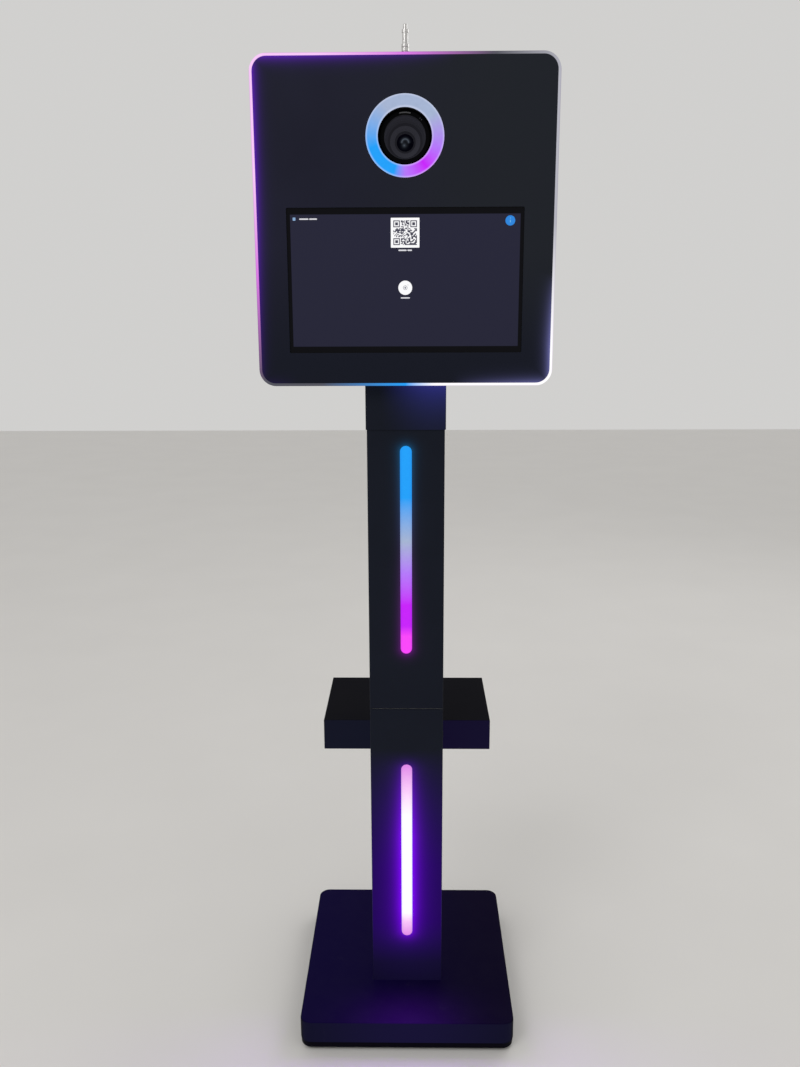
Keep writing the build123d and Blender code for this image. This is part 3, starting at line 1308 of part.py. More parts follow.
def shutter_button():
    """Round shutter button in the top of the grip."""
    x, y, top = button_place()
    button = rod_z(BUTTON_R, x, y, top - BUTTON_WELL + BUTTON_TRAVEL + MOVE_GAP, top + BUTTON_TRAVEL)
    return fillet(button.faces().sort_by(Axis.Z)[-1].edges(), BUTTON_EDGE_R)


def lens_barrel():
    """Fixed barrel: mount end, core under the rings and wide nose with a stepped bore."""
    back = MOUNT_RING_FRONT
    barrel = rod_y(CORE_R, 0, LENS_Z, NOSE_FRONT + NOSE_T, back)
    nose = rod_y(NOSE_R, 0, LENS_Z, NOSE_FRONT, NOSE_FRONT + NOSE_T)
    barrel += fillet(nose.faces().sort_by(Axis.Y)[0].edges(), NOSE_EDGE_R)
    barrel += rod_y(FOCUS_R, 0, LENS_Z, *middle_band())
    barrel += rod_y(FOCUS_R - LENS_TAIL, 0, LENS_Z, zoom_span()[1] + MOVE_GAP, back)
    barrel -= rod_y(LENS_BORE_R, 0, LENS_Z, NOSE_FRONT, LENS_SEAT)
    for i, radius in enumerate(LENS_STEPS):
        front = LENS_SEAT + LENS_STEP_D * i
        barrel -= rod_y(radius, 0, LENS_Z, front, front + LENS_STEP_D)
    return barrel - rod_y(ELEMENT_R, 0, LENS_Z, ELEMENT_FRONT, back)


def focus_span():
    """Fore-and-aft span of the focus ring."""
    low = NOSE_FRONT + NOSE_T + MOVE_GAP
    return low, low + FOCUS_W


def middle_band():
    """Fixed band between the focus and zoom rings."""
    low = focus_span()[1] + MOVE_GAP
    return low, low + MIDDLE_BAND_W


def zoom_span():
    """Fore-and-aft span of the zoom ring."""
    low = middle_band()[1] + MOVE_GAP
    return low, low + ZOOM_W


def ribbed_ring(radius, span, ribs):
    """Grip ring round the barrel, with shallow lengthwise grooves."""
    section = Circle(radius)
    for i in range(ribs):
        angle = 2 * math.pi * i / ribs
        section -= Pos(radius * math.cos(angle), radius * math.sin(angle)) * Circle(RIB_GROOVE_R)
    section -= Circle(CORE_R + RUN_GAP)
    return Pos(0, 0, LENS_Z) * slab_xz(section, *span)


def front_element():
    """Glass of the lens, domed at the front, deep in the bore."""
    disc = rod_y(ELEMENT_R - RUN_GAP, 0, LENS_Z, ELEMENT_FRONT, ELEMENT_FRONT + ELEMENT_T)
    dome_y = ELEMENT_FRONT + ELEMENT_DOME_R - ELEMENT_DOME_RISE
    return disc & (Pos(0, dome_y, LENS_Z) * Sphere(ELEMENT_DOME_R))


# --- Electronics ---

def floor_box(x, y, size, gap):
    """Box standing on the head's floor, with rounded upright edges."""
    width, depth, height = size
    low = FLOOR_Z + gap
    box = block((x - width / 2, x + width / 2), (y - depth / 2, y + depth / 2), (low, low + height))
    return fillet(box.edges().filter_by(Axis.Z), BOX_R)


def mini_pc():
    """Small computer on the floor: case on feet, with port recesses at the rear and a top grille."""
    width, depth, height = PC_SIZE
    x = HOUSING_W / 2 - SHEET - width / 2 - BOX_WALL_GAP
    rear = HOUSING_REAR - BOX_REAR_GAP
    y = rear - depth / 2
    case = floor_box(x, y, PC_SIZE, PC_LIFT)
    low = FLOOR_Z + PC_LIFT
    sill = low + PC_PORT_RISE
    reach = PC_PORT_PITCH * len(PC_PORT_WIDTHS) / 2
    for i, port_x in enumerate(steps_between(x - reach, x + reach, PC_PORT_PITCH)):
        half = PC_PORT_WIDTHS[i] / 2
        port_z = (sill, sill + PC_PORT_HEIGHTS[i % len(PC_PORT_HEIGHTS)])
        case -= block((port_x - half, port_x + half), (rear - PC_PORT_DEPTH, rear), port_z)
    grille_w, pitch, slot_length, slot_w = PC_GRILLE
    for slot_x in steps_between(x - grille_w / 2, x + grille_w / 2, pitch):
        slot = Pos(slot_x, y) * SlotOverall(slot_length, slot_w, rotation=90)
        case -= slab_xy(slot, low + height - PC_GRILLE_DEPTH, low + height)
    out, back, radius = PC_FOOT
    for sx in (-1, 1):
        for sy in (-1, 1):
            case += rod_z(radius, x + sx * out, y + sy * back, FLOOR_Z, low)
    return case


def power_supply():
    """Supply with a perforated cover, and a terminal block at its rear."""
    width, depth, height = SUPPLY_SIZE
    term_w, term_d, term_h = TERMINAL_SIZE
    x = -(HOUSING_W / 2 - SHEET - width / 2 - BOX_WALL_GAP)
    rear = HOUSING_REAR - BOX_REAR_GAP
    y = rear - term_d - (depth - term_d) / 2
    case = floor_box(x, y, (width, depth - term_d, height), 0)
    top = FLOOR_Z + height
    reach_x, reach_y = (SUPPLY_HOLE_PITCH * count / 2 for count in SUPPLY_HOLE_COUNTS)
    for hole_x in steps_between(x - reach_x, x + reach_x, SUPPLY_HOLE_PITCH):
        for hole_y in steps_between(y - reach_y, y + reach_y, SUPPLY_HOLE_PITCH):
            case -= rod_z(SUPPLY_HOLE_R, hole_x, hole_y, top - SUPPLY_HOLE_DEPTH, top)
    terminal = block((x - term_w / 2, x + term_w / 2), (rear - term_d, rear), (FLOOR_Z, FLOOR_Z + term_h))
    bay_w, bay_d, bay_h = TERMINAL_BAY
    bay_y = (rear - term_d / 2 - bay_d / 2, rear - term_d / 2 + bay_d / 2)
    for bay_x in steps_between(x - term_w / 2, x + term_w / 2, TERMINAL_PITCH):
        bay = (bay_x - bay_w / 2, bay_x + bay_w / 2)
        terminal -= block(bay, bay_y, (FLOOR_Z + term_h - bay_h, FLOOR_Z + term_h))
    return case + terminal


def led_controller():
    """Light controller on the camera shelf, with mounting ears and a socket row."""
    width, depth, height = DRIVER_SIZE
    ear_l, ear_w, ear_t = EAR_SIZE
    x = -(HOUSING_W / 2 - SHEET - width / 2 - DRIVER_SIDE_GAP)
    low = CAMERA_SHELF_TOP
    case = block((x - width / 2, x + width / 2), (-depth / 2, depth / 2), (low, low + height))
    case = fillet(case.edges().filter_by(Axis.Z), DRIVER_R)
    for side in (-1, 1):
        root = x + side * width / 2
        ear = sorted((root, root + side * ear_l))
        case += block(ear, (-ear_w / 2, ear_w / 2), (low, low + ear_t))
        case -= rod_z(EAR_HOLE_R, root + side * ear_l / 2, 0, low, low + ear_t)
    socket_w, socket_d, socket_h = SOCKET_SIZE
    sill = low + SOCKET_RISE
    reach = SOCKET_PITCH * SOCKET_COUNT / 2
    for socket_x in steps_between(x - reach, x + reach, SOCKET_PITCH):
        span = (socket_x - socket_w / 2, socket_x + socket_w / 2)
        case -= block(span, (depth / 2 - socket_d, depth / 2), (sill, sill + socket_h))
    return case


def fan_frame():
    """Square fan frame on the inside of the door, with four spokes and a hub."""
    rear = DOOR_FRONT
    front = rear - FAN_D
    place = Pos(0, FAN_Z)
    square = place * RectangleRounded(FAN_SIZE, FAN_SIZE, FAN_CORNER_R)
    frame = slab_xz(square - place * Circle(FAN_BORE_R), front, rear)
    out = FAN_SIZE / 2 - FAN_HOLE_INSET
    for sx in (-1, 1):
        for sz in (-1, 1):
            frame -= rod_y(FAN_HOLE_R, sx * out, FAN_Z + sz * out, front, rear)
    reach = (FAN_BORE_R + FAN_SIZE / 2) / 2
    spoke = block((0, reach), (front, front + SPOKE_T), (-SPOKE_W / 2, SPOKE_W / 2))
    for turn in range(4):
        frame += Pos(0, 0, FAN_Z) * Rot(0, SPOKE_TURN + 90 * turn, 0) * spoke
    frame += rod_y(ROTOR_HUB_R, 0, FAN_Z, front, front + SPOKE_T)
    return frame + rod_y(FAN_PIN_R, 0, FAN_Z, front, rear - FAN_PIN_BACK)


def fan_rotor():
    """Hub with tilted blades that turns on the frame's pin."""
    front = DOOR_FRONT - FAN_D + SPOKE_T + MOVE_GAP
    rear = DOOR_FRONT - ROTOR_REAR_GAP
    rotor = rod_y(ROTOR_HUB_R, 0, FAN_Z, front, rear)
    rotor = fillet(rotor.faces().sort_by(Axis.Y)[-1].edges(), ROTOR_HUB_EDGE_R)
    root = ROTOR_HUB_R - BLADE_ROOT
    blade = Rot(BLADE_TURN, 0, 0) * Box(ROTOR_R - root, BLADE_CHORD, BLADE_T)
    blade = Pos((ROTOR_R + root) / 2, (front + rear) / 2, 0) * blade
    for i in range(FAN_BLADES):
        rotor += Pos(0, 0, FAN_Z) * Rot(0, 360 * i / FAN_BLADES, 0) * blade
    rotor = rotor & rod_y(ROTOR_R, 0, FAN_Z, front, rear)
    return rotor - rod_y(FAN_PIN_R + RUN_GAP, 0, FAN_Z, front, rear - ROTOR_HUB_CAP)


# --- Inlet, switch and spigot ---

def power_inlet():
    """Mains inlet in the head's floor: flange below, recess with three blades that open downwards."""
    width, depth = INLET_SIZE
    place = Pos(INLET_X, INLET_Y)
    low = HOUSING_LOW - INLET_FLANGE_T
    back = HOUSING_LOW + INLET_DEPTH
    flange = place * RectangleRounded(width + 2 * INLET_EAR, depth + 2 * INLET_RIM, INLET_R)
    body = slab_xy(flange, low, HOUSING_LOW) + slab_xy(place * Rectangle(width, depth), HOUSING_LOW, back)
    mouth = place * RectangleRounded(width - 2 * INLET_WALL, depth - 2 * INLET_WALL, INLET_R)
    body -= slab_xy(mouth, low, back - INLET_BACK)
    half_t, half_w = (size / 2 for size in INLET_BLADE_SIZE)
    for x, y in INLET_BLADES:
        blade_x = (INLET_X + x - half_t, INLET_X + x + half_t)
        blade_y = (INLET_Y + y - half_w, INLET_Y + y + half_w)
        body += block(blade_x, blade_y, (HOUSING_LOW, back - INLET_BACK))
    for side in (-1, 1):
        out = side * (width / 2 + INLET_SCREW_OUT)
        body -= rod_z(INLET_SCREW_R, INLET_X + out, INLET_Y, low, HOUSING_LOW)
    return body


def rocker_frame():
    """Bezel and body of the switch beside the inlet."""
    width, depth = ROCKER_SIZE
    place = Pos(ROCKER_X, INLET_Y)
    rim = 2 * ROCKER_RIM
    bezel = place * RectangleRounded(width + rim, depth + rim, ROCKER_RIM)
    frame = slab_xy(bezel, HOUSING_LOW - ROCKER_RIM, HOUSING_LOW)
    frame += slab_xy(place * Rectangle(width, depth), HOUSING_LOW, HOUSING_LOW + ROCKER_DEPTH)
    well = place * Rectangle(width - 2 * ROCKER_WALL, depth - 2 * ROCKER_WALL)
    return frame - slab_xy(well, HOUSING_LOW - ROCKER_RIM, HOUSING_LOW + ROCKER_DEPTH - ROCKER_BACK)


def mains_panel():
    """The inlet and the switch's body, side by side."""
    return group([power_inlet(), rocker_frame()])


def power_rocker():
    """Rocker that tips about its pivot, worked from below the head."""
    width, depth = ROCKER_SIZE
    half = width / 2 - ROCKER_WALL - ROCKER_TIP_GAP
    inner = half - ROCKER_TAPER
    face = HOUSING_LOW - ROCKER_RIM
    lifted = face + ROCKER_LIFT
    back = face + ROCKER_H
    points = [(-half, lifted), (0, face - ROCKER_DISH), (half, lifted), (inner, back), (-inner, back)]
    side = depth / 2 - ROCKER_WALL - MOVE_GAP
    rocker = slab_xz(Polygon(*points, align=None), -side, side)
    rocker = Pos(ROCKER_X, INLET_Y, 0) * rocker
    hole = rod_y(ROCKER_PIN_R + RUN_GAP, ROCKER_X, ROCKER_PIVOT_Z, INLET_Y - depth, INLET_Y + depth)
    return rocker - hole


def accessory_spigot():
    """Turned stud on the head: grooved collar, waist, flange and threaded tip, held by a nut inside."""
    base = HOUSING_TOP
    inside = base - SHEET
    stud = rod_z(SPIGOT_FOOT_R, 0, SPIGOT_Y, base, base + SPIGOT_FOOT_H)
    stud += rod_z(SPIGOT_COLLAR_R, 0, SPIGOT_Y, base, base + SPIGOT_COLLAR_H)
    for drop in SPIGOT_GROOVE_DROPS:
        top = base + SPIGOT_COLLAR_H - drop
        cut = rod_z(SPIGOT_COLLAR_R, 0, SPIGOT_Y, top - SPIGOT_GROOVE_W, top)
        stud -= cut - rod_z(SPIGOT_WAIST_R, 0, SPIGOT_Y, top - SPIGOT_GROOVE_W, top)
    stud += rod_z(SPIGOT_WAIST_R, 0, SPIGOT_Y, base, base + SPIGOT_WAIST_TOP)
    stud += rod_z(SPIGOT_HEAD_R, 0, SPIGOT_Y, base + SPIGOT_WAIST_TOP, base + SPIGOT_HEAD_TOP)
    stud += rod_z(SPIGOT_TIP_R, 0, SPIGOT_Y, base + SPIGOT_HEAD_TOP, base + SPIGOT_TIP_TOP)
    stud += rod_z(SPIGOT_TIP_R, 0, SPIGOT_Y, inside - SPIGOT_TAIL, base)
    stud = chamfer(stud.faces().sort_by(Axis.Z)[-1].edges(), SPIGOT_TIP_EDGE)
    nut = slab_xy(Pos(0, SPIGOT_Y) * RegularPolygon(SPIGOT_NUT_R, HEX), inside - SPIGOT_NUT_T, inside)
    return group([stud, nut - rod_z(SPIGOT_TIP_R + RUN_GAP, 0, SPIGOT_Y, inside - SPIGOT_NUT_T, inside)])


# --- Nodes and files ---

NODES = {
    "base_plate": base_plate,
    "base_cover": base_cover,
    "base_feet": base_feet,
    "base_fasteners": base_fasteners,
    "lower_column_shell": lower_column_shell,
    "lower_column_cover": lower_column_cover,
    "lower_cover_screws": lambda: cover_screws(*lower_cover_span()),
    "lower_light_diffuser": lambda: light_diffuser(LOWER_SLOT),
    "lower_light_channel": lambda: light_channel(LOWER_SLOT),
    "lower_led_strip": lambda: led_strip(LOWER_SLOT),
    "column_joiner": column_joiner,
    "joiner_screws": joiner_screws,
    "upper_column_shell": upper_column_shell,
    "upper_column_cover": upper_column_cover,
    "upper_cover_screws": lambda: cover_screws(*upper_cover_span()),
    "upper_light_diffuser": lambda: light_diffuser(UPPER_SLOT),
    "upper_light_channel": lambda: light_channel(UPPER_SLOT),
    "upper_led_strip": lambda: led_strip(UPPER_SLOT),
    "column_knob_left": lambda: column_knob(-KNOB_X),
    "column_knob_right": lambda: column_knob(KNOB_X),
    "shelf_bracket": shelf_bracket,
    "shelf_knob_left": lambda: shelf_knob(-KNOB_X),
    "shelf_knob_right": lambda: shelf_knob(KNOB_X),
    "printer_shelf": printer_shelf,
    "head_sleeve": head_sleeve,
    "sleeve_bolts": sleeve_bolts,
    "sleeve_knob_left": lambda: sleeve_knob(-KNOB_X),
    "sleeve_knob_right": lambda: sleeve_knob(KNOB_X),
    "front_panel": front_panel,
    "panel_nuts": panel_nuts,
    "edge_light_band": edge_light_band,
    "edge_led_strip": edge_led_strip,
    "head_housing": head_housing,
    "rear_door": rear_door,
    "hinge_frame_halves": hinge_frame_halves,
    "hinge_door_halves": door_hinge_leaves,
    "cam_lock": cam_lock,
    "monitor_glass": monitor_glass,
    "display_panel": display_panel,
    "monitor_case": monitor_case,
    "ring_light_diffuser": ring_light_diffuser,
    "ring_light_pan": ring_light_pan,
    "ring_light_board": ring_light_board,
    "camera_shelf": camera_shelf,
    "camera_tray": camera_tray,
    "tripod_screw": tripod_screw,
    "camera_body": camera_body,
    "shutter_button": shutter_button,
    "lens_barrel": lens_barrel,
    "zoom_ring": lambda: ribbed_ring(ZOOM_R, zoom_span(), ZOOM_RIBS),
    "focus_ring": lambda: ribbed_ring(FOCUS_R, focus_span(), FOCUS_RIBS),
    "front_element": front_element,
    "mini_pc": mini_pc,
    "power_supply": power_supply,
    "led_controller": led_controller,
    "fan_frame": fan_frame,
    "fan_rotor": fan_rotor,
    "mains_panel": mains_panel,
    "power_rocker": power_rocker,
    "accessory_spigot": accessory_spigot,
}

os.makedirs("parts", exist_ok=True)
for node_name, make in NODES.items():
    write(node_name, make())
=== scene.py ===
import math
import random

import bmesh
import bpy
from mathutils import Matrix, Vector


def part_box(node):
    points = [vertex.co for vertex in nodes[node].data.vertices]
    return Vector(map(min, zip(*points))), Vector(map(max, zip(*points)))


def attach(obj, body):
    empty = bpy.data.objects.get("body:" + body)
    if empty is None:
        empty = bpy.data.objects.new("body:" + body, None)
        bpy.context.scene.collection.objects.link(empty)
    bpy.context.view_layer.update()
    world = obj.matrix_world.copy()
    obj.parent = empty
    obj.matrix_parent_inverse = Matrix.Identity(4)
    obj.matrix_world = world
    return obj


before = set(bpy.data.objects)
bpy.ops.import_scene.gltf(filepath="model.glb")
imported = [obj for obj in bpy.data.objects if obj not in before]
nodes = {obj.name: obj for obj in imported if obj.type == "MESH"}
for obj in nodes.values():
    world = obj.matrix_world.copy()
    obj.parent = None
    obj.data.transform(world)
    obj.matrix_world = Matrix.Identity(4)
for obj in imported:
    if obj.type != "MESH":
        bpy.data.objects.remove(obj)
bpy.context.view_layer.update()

# ---------------------------------------------------------------------------
# The viewer's place: a guest standing in front of the booth, a little to the
# right of its middle, looks slightly down at the whole object.
# ---------------------------------------------------------------------------
FILM_LONG_SIDE = 36.0
LENS_MM = 32.02
EYE = Vector((0.0128, -1.5986, 1.2406))
LOOK_DOWN = 0.225
TURN_LEFT = 0.015
ROLL = -0.004

ahead = Vector((-math.sin(TURN_LEFT), math.cos(TURN_LEFT), 0))
across = Vector((math.cos(TURN_LEFT), math.sin(TURN_LEFT), 0))
forward = ahead * math.cos(LOOK_DOWN) - Vector((0, 0, math.sin(LOOK_DOWN)))
upward = ahead * math.sin(LOOK_DOWN) + Vector((0, 0, math.cos(LOOK_DOWN)))
picture_right = across * math.cos(ROLL) + upward * math.sin(ROLL)
picture_up = upward * math.cos(ROLL) - across * math.sin(ROLL)
camera_data = bpy.data.cameras.new("viewer")
camera_data.lens = LENS_MM
camera_data.sensor_width = FILM_LONG_SIDE
camera_data.clip_end = 60
camera = bpy.data.objects.new("viewer", camera_data)
bpy.context.scene.collection.objects.link(camera)
turn = Matrix((picture_right, picture_up, -forward)).transposed()
camera.matrix_world = Matrix.Translation(EYE) @ turn.to_4x4()
bpy.context.scene.camera = camera
bpy.context.scene.view_settings.view_transform = "Standard"

# ---------------------------------------------------------------------------
# The studio: a pale room that lights the booth from all round, one large soft
# light high in front and a weaker one behind, and a plain pale floor.
# ---------------------------------------------------------------------------
ROOM_TONE = (0.60, 0.595, 0.585)
ROOM_POWER = 1.06


def soft_light(name, place, aim, size, power, colour=(1, 1, 1), height=None):
    """A rectangular soft light that faces a point."""
    data = bpy.data.lights.new(name, "AREA")
    data.shape = "RECTANGLE"
    data.size = size
    data.size_y = height or size
    data.energy = power
    data.color = colour
    lamp = bpy.data.objects.new(name, data)
    bpy.context.scene.collection.objects.link(lamp)
    lamp.location = place
    lamp.rotation_euler = (Vector(aim) - Vector(place)).to_track_quat("-Z", "Y").to_euler()
    return lamp


room = bpy.data.worlds.new("pale_room")
room.use_nodes = True
room.node_tree.nodes["Background"].inputs["Color"].default_value = (*ROOM_TONE, 1)
room.node_tree.nodes["Background"].inputs["Strength"].default_value = ROOM_POWER
bpy.context.scene.world = room
soft_light("key_light", (-1.6, -2.4, 3.2), (0, 0, 0.9), 1.6, 26)
soft_light("back_light", (1.8, 2.2, 2.8), (0, 0, 0.9), 1.6, 16)


class Signal:
    """A value or colour inside a finish: arithmetic on it adds the nodes that work it out."""

    def __init__(self, finish, socket):
        self.finish = finish
        self.socket = socket

    def maths(self, operation, *values):
        return self.finish.node("ShaderNodeMath", {"operation": operation}, dict(enumerate(values)))

    def __add__(self, other):
        return self.maths("ADD", self, other)

    def __radd__(self, other):
        return self.maths("ADD", other, self)

    def __sub__(self, other):
        return self.maths("SUBTRACT", self, other)

    def __rsub__(self, other):
        return self.maths("SUBTRACT", other, self)

    def __mul__(self, other):
        return self.maths("MULTIPLY", self, other)

    def __rmul__(self, other):
        return self.maths("MULTIPLY", other, self)

    def __truediv__(self, other):
        return self.maths("DIVIDE", self, other)

    def __pow__(self, other):
        return self.maths("POWER", self, other)

    def __neg__(self):
        return self.maths("MULTIPLY", self, -1.0)

    def __abs__(self):
        return self.maths("ABSOLUTE", self)

    def above(self, edge, blur):
        """0 below an edge, 1 above it, with a smooth step of a given width between."""
        settings = {"interpolation_type": "SMOOTHSTEP"}
        places = {"Value": self, "From Min": edge - blur / 2, "From Max": edge + blur / 2}
        return self.finish.node("ShaderNodeMapRange", settings, places)

    def larger(self, other):
        return self.maths("MAXIMUM", self, other)

    def smaller(self, other):
        return self.maths("MINIMUM", self, other)

    def fade(self, reach):
        """1 at nought, falling off exponentially over a reach."""
        return self.maths("EXPONENT", self * (-1.0 / reach))


class Finish:
    """One surface finish: a principled shader and the ways to shape what feeds it."""

    def __init__(self, name, **constants):
        self.material = bpy.data.materials.new(name)
        self.material.use_nodes = True
        self.tree = self.material.node_tree
        self.shader = self.tree.nodes["Principled BSDF"]
        for socket, value in constants.items():
            value = (*value, 1) if isinstance(value, tuple) else value
            self.shader.inputs[socket.replace("_", " ")].default_value = value
        self.relief = None
        self.spot = self.node("ShaderNodeTexCoord", output="Object")

    def node(self, kind, settings=None, sockets=None, output=0):
        """Adds a node: its settings first, then the values or signals of its sockets."""
        made = self.tree.nodes.new(kind)
        for key, value in (settings or {}).items():
            if key == "stops":
                self.set_stops(made.color_ramp, value)
            else:
                setattr(made, key, value)
        for key, value in (sockets or {}).items():
            if isinstance(value, Signal):
                self.tree.links.new(value.socket, made.inputs[key])
            else:
                made.inputs[key].default_value = value
        return Signal(self, made.outputs[output])

    @staticmethod
    def set_stops(ramp, stops):
        while len(ramp.elements) < len(stops):
            ramp.elements.new(0.5)
        for element, (position, colour) in zip(ramp.elements, stops):
            element.position = position
            element.color = (*colour, 1)

    def feed(self, socket, signal):
        """Links a signal to a socket of the shader."""
        self.tree.links.new(signal.socket, self.shader.inputs[socket])
        return self

    def axes(self, vector=None):
        """The X, Y and Z of a vector, by default the place on the object in metres."""
        split = self.tree.nodes.new("ShaderNodeSeparateXYZ")
        self.tree.links.new((vector or self.spot).socket, split.inputs[0])
        return [Signal(self, out) for out in split.outputs]

    def facing(self):
        """The X, Y and Z of the surface's own direction."""
        return self.axes(self.node("ShaderNodeNewGeometry", output="Normal"))

    def noise(self, scale, detail=2.0, roughness=0.5, stretch=None):
        """Smooth noise of a given number of cells in a metre."""
        spot = self.spot
        if stretch:
            spot = self.node("ShaderNodeVectorMath", {"operation": "MULTIPLY"}, {0: spot, 1: stretch})
        sockets = {"Vector": spot, "Scale": scale, "Detail": detail, "Roughness": roughness}
        return self.node("ShaderNodeTexNoise", {}, sockets)

    def mix(self, share, first, second):
        """Colour between two colours."""
        settings = {"data_type": "RGBA"}
        ends = {0: share, 6: self.rgba(first), 7: self.rgba(second)}
        made = self.node("ShaderNodeMix", settings, ends, output=2)
        return made

    def join(self, how, first, second, share=1.0):
        """Two colours added, multiplied or screened."""
        settings = {"data_type": "RGBA", "blend_type": how}
        ends = {0: share, 6: self.rgba(first), 7: self.rgba(second)}
        return self.node("ShaderNodeMix", settings, ends, output=2)

    @staticmethod
    def rgba(colour):
        return (*colour, 1) if isinstance(colour, tuple) else colour

    def tint(self, value, *stops):
        """Colour looked up along a row of stops."""
        return self.node("ShaderNodeValToRGB", {"stops": stops}, {0: value})

    def bump(self, height, distance, strength=1.0):
        """Relief of a given depth in metres, on top of any laid before."""
        sockets = {"Height": height, "Distance": distance, "Strength": strength}
        if self.relief:
            sockets["Normal"] = self.relief
        self.relief = self.node("ShaderNodeBump", {}, sockets)
        return self.feed("Normal", self.relief)

    def dress(self, *names):
        """Gives the finish to CAD nodes."""
        for name in names:
            for slot in nodes[name].material_slots:
                slot.material = self.material
        return self


def srgb(red, green, blue):
    """A colour given in display values, as linear light."""
    shares = (red / 255, green / 255, blue / 255)
    return tuple(v / 12.92 if v <= 10 / 255 else ((v + 0.055) / 1.055) ** 2.4 for v in shares)


FLOOR_HALF = 9.0
floor_mesh = bpy.data.meshes.new("studio_floor")
corners = [(-1, -1), (1, -1), (1, 1), (-1, 1)]
floor_mesh.from_pydata([(x * FLOOR_HALF, y * FLOOR_HALF, 0) for x, y in corners], [], [(0, 1, 2, 3)])
floor = bpy.data.objects.new("studio_floor", floor_mesh)
bpy.context.scene.collection.objects.link(floor)
floor_finish = Finish("studio_floor", Roughness=0.55, Specular_IOR_Level=0.3)
floor_cloud = floor_finish.noise(3)
floor_finish.feed("Base Color", floor_finish.mix(floor_cloud, (0.74, 0.725, 0.705), (0.78, 0.765, 0.745)))
floor_mesh.materials.append(floor_finish.material)

# ---------------------------------------------------------------------------
# Base: a thick steel plate, painted black, under a folded and welded sheet
# cover with a fine-texture powder coat. The whole booth stands on it.
# ---------------------------------------------------------------------------
PLATE_PAINT = (0.0028, 0.0022, 0.0058)
COVER_COAT = (0.0008, 0.0005, 0.0026)
DUST_TONE = (0.011, 0.010, 0.013)


def powder_coat(name, colour, roughness=0.52, dust=0.5, gloss=0.07):
    """Baked powder: orange peel, fine grit, a little cloudiness, faint scuffs and dust on what faces up."""
    coat = Finish(name, Specular_IOR_Level=gloss)
    peel = coat.noise(420, 2)
    grit = coat.noise(2400, 2, 0.65)
    cloud = coat.noise(7, 3)
    scuff = coat.noise(34, 5, 0.7, stretch=(1.0, 1.0, 0.22)).above(0.66, 0.05)
    settled = coat.facing()[2].above(0.75, 0.4) * coat.noise(26, 4, 0.65).above(0.5, 0.35) * dust
    dark = tuple(v * 0.8 for v in colour)
    light = tuple(v * 1.25 + 0.0004 for v in colour)
    tone = coat.mix(cloud, dark, light)
    tone = coat.mix(scuff * 0.25, tone, DUST_TONE)
    coat.colour = coat.mix(settled, tone, DUST_TONE)
    coat.feed("Base Color", coat.colour)
    coat.feed("Roughness", roughness + (cloud - 0.5) * 0.16 + (grit - 0.5) * 0.12 + scuff * 0.08 + settled * 0.2)
    coat.bump(peel, 0.00022, 0.45)
    coat.bump(grit, 0.00006, 0.5)
    return coat


base_low, base_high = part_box("base_cover")
column_low, column_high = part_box("lower_column_shell")
cover_coat = powder_coat("base_cover_coat", COVER_COAT, 0.5, 0.12, 0.015)
x, y, z = cover_coat.axes()
# Painted light on the cover's coat: a violet glow painted on the top, stronger on the left and in a pool in front of
# the lower light bar, a violet glow painted over the middle of the front face, and a faint painted glow on the other
# faces.
out_front = column_low.y - y
glow_pool_under_bar = ((x / 0.085) ** 2.0).fade(1.0) * out_front.above(0.065, 0.13)
on_top = cover_coat.facing()[2].above(0.7, 0.3)
on_front = (-cover_coat.facing()[1]).above(0.6, 0.4)
leftward = 1.0 - x.above(0.0, 0.4)
painted_top_glow = cover_coat.mix(leftward, srgb(6, 2, 24), srgb(9, 3, 42))
painted_top_glow = cover_coat.join("ADD", painted_top_glow, cover_coat.mix(glow_pool_under_bar, (0, 0, 0), srgb(32, 1, 72)))
painted_front_glow = cover_coat.mix(((x / 0.16) ** 2.0).fade(1.0), srgb(13, 15, 28), srgb(21, 17, 50))
painted_glow = cover_coat.mix(on_top, cover_coat.mix(on_front, srgb(4, 3, 12), painted_front_glow), painted_top_glow)
cover_coat.feed("Emission Color", painted_glow)
cover_coat.shader.inputs["Emission Strength"].default_value = 1.0
cover_coat.dress("base_cover")

plate_paint = powder_coat("base_plate_paint", PLATE_PAINT, 0.42, 0.1, 0.03)
plate_paint.dress("base_plate")

# Four moulded rubber feet, each held by a zinc-plated screw, and the bolts
# that come up through the plate into the foot of the column.
rubber = Finish("foot_rubber", Specular_IOR_Level=0.3)
bloom = rubber.noise(90, 3)
rubber.feed("Base Color", rubber.mix(bloom, (0.010, 0.010, 0.010), (0.026, 0.025, 0.024)))
rubber.feed("Roughness", 0.72 + bloom * 0.16)
rubber.bump(rubber.noise(1500, 2), 0.00008)
rubber.dress("base_feet")


def plated_steel(name, colour=(0.46, 0.46, 0.47), roughness=0.34):
    """Zinc-plated steel: bright, faintly streaked, with dull blooms."""
    steel = Finish(name, Metallic=1.0)
    bloom = steel.noise(60, 4, 0.6)
    streak = steel.noise(500, 2, 0.5, stretch=(1.0, 1.0, 0.06))
    dull = tuple(v * 0.7 for v in colour)
    steel.feed("Base Color", steel.mix(bloom, colour, dull))
    steel.feed("Roughness", roughness + (streak - 0.5) * 0.2 + bloom * 0.1)
    steel.bump(streak, 0.00003)
    return steel


zinc = plated_steel("zinc_plate")
zinc.dress("base_fasteners", "sleeve_bolts", "panel_nuts", "tripod_screw")

# ---------------------------------------------------------------------------
# Column: two folded steel lengths with a flat cover behind, joined by a tube.
# Both are powder-coated, and round each light slot a glow in the light's colour is painted on the coat.
# ---------------------------------------------------------------------------
COLUMN_COAT = (0.0084, 0.0108, 0.0192)
SLOT_HALF_W = 0.0095
SLOT_BORDER = 0.006
UNLIT = (0.0, 0.0, 0.0)
PARTLY_LIT = (0.3, 0.3, 0.3)
FULLY_LIT = (1.0, 1.0, 1.0)


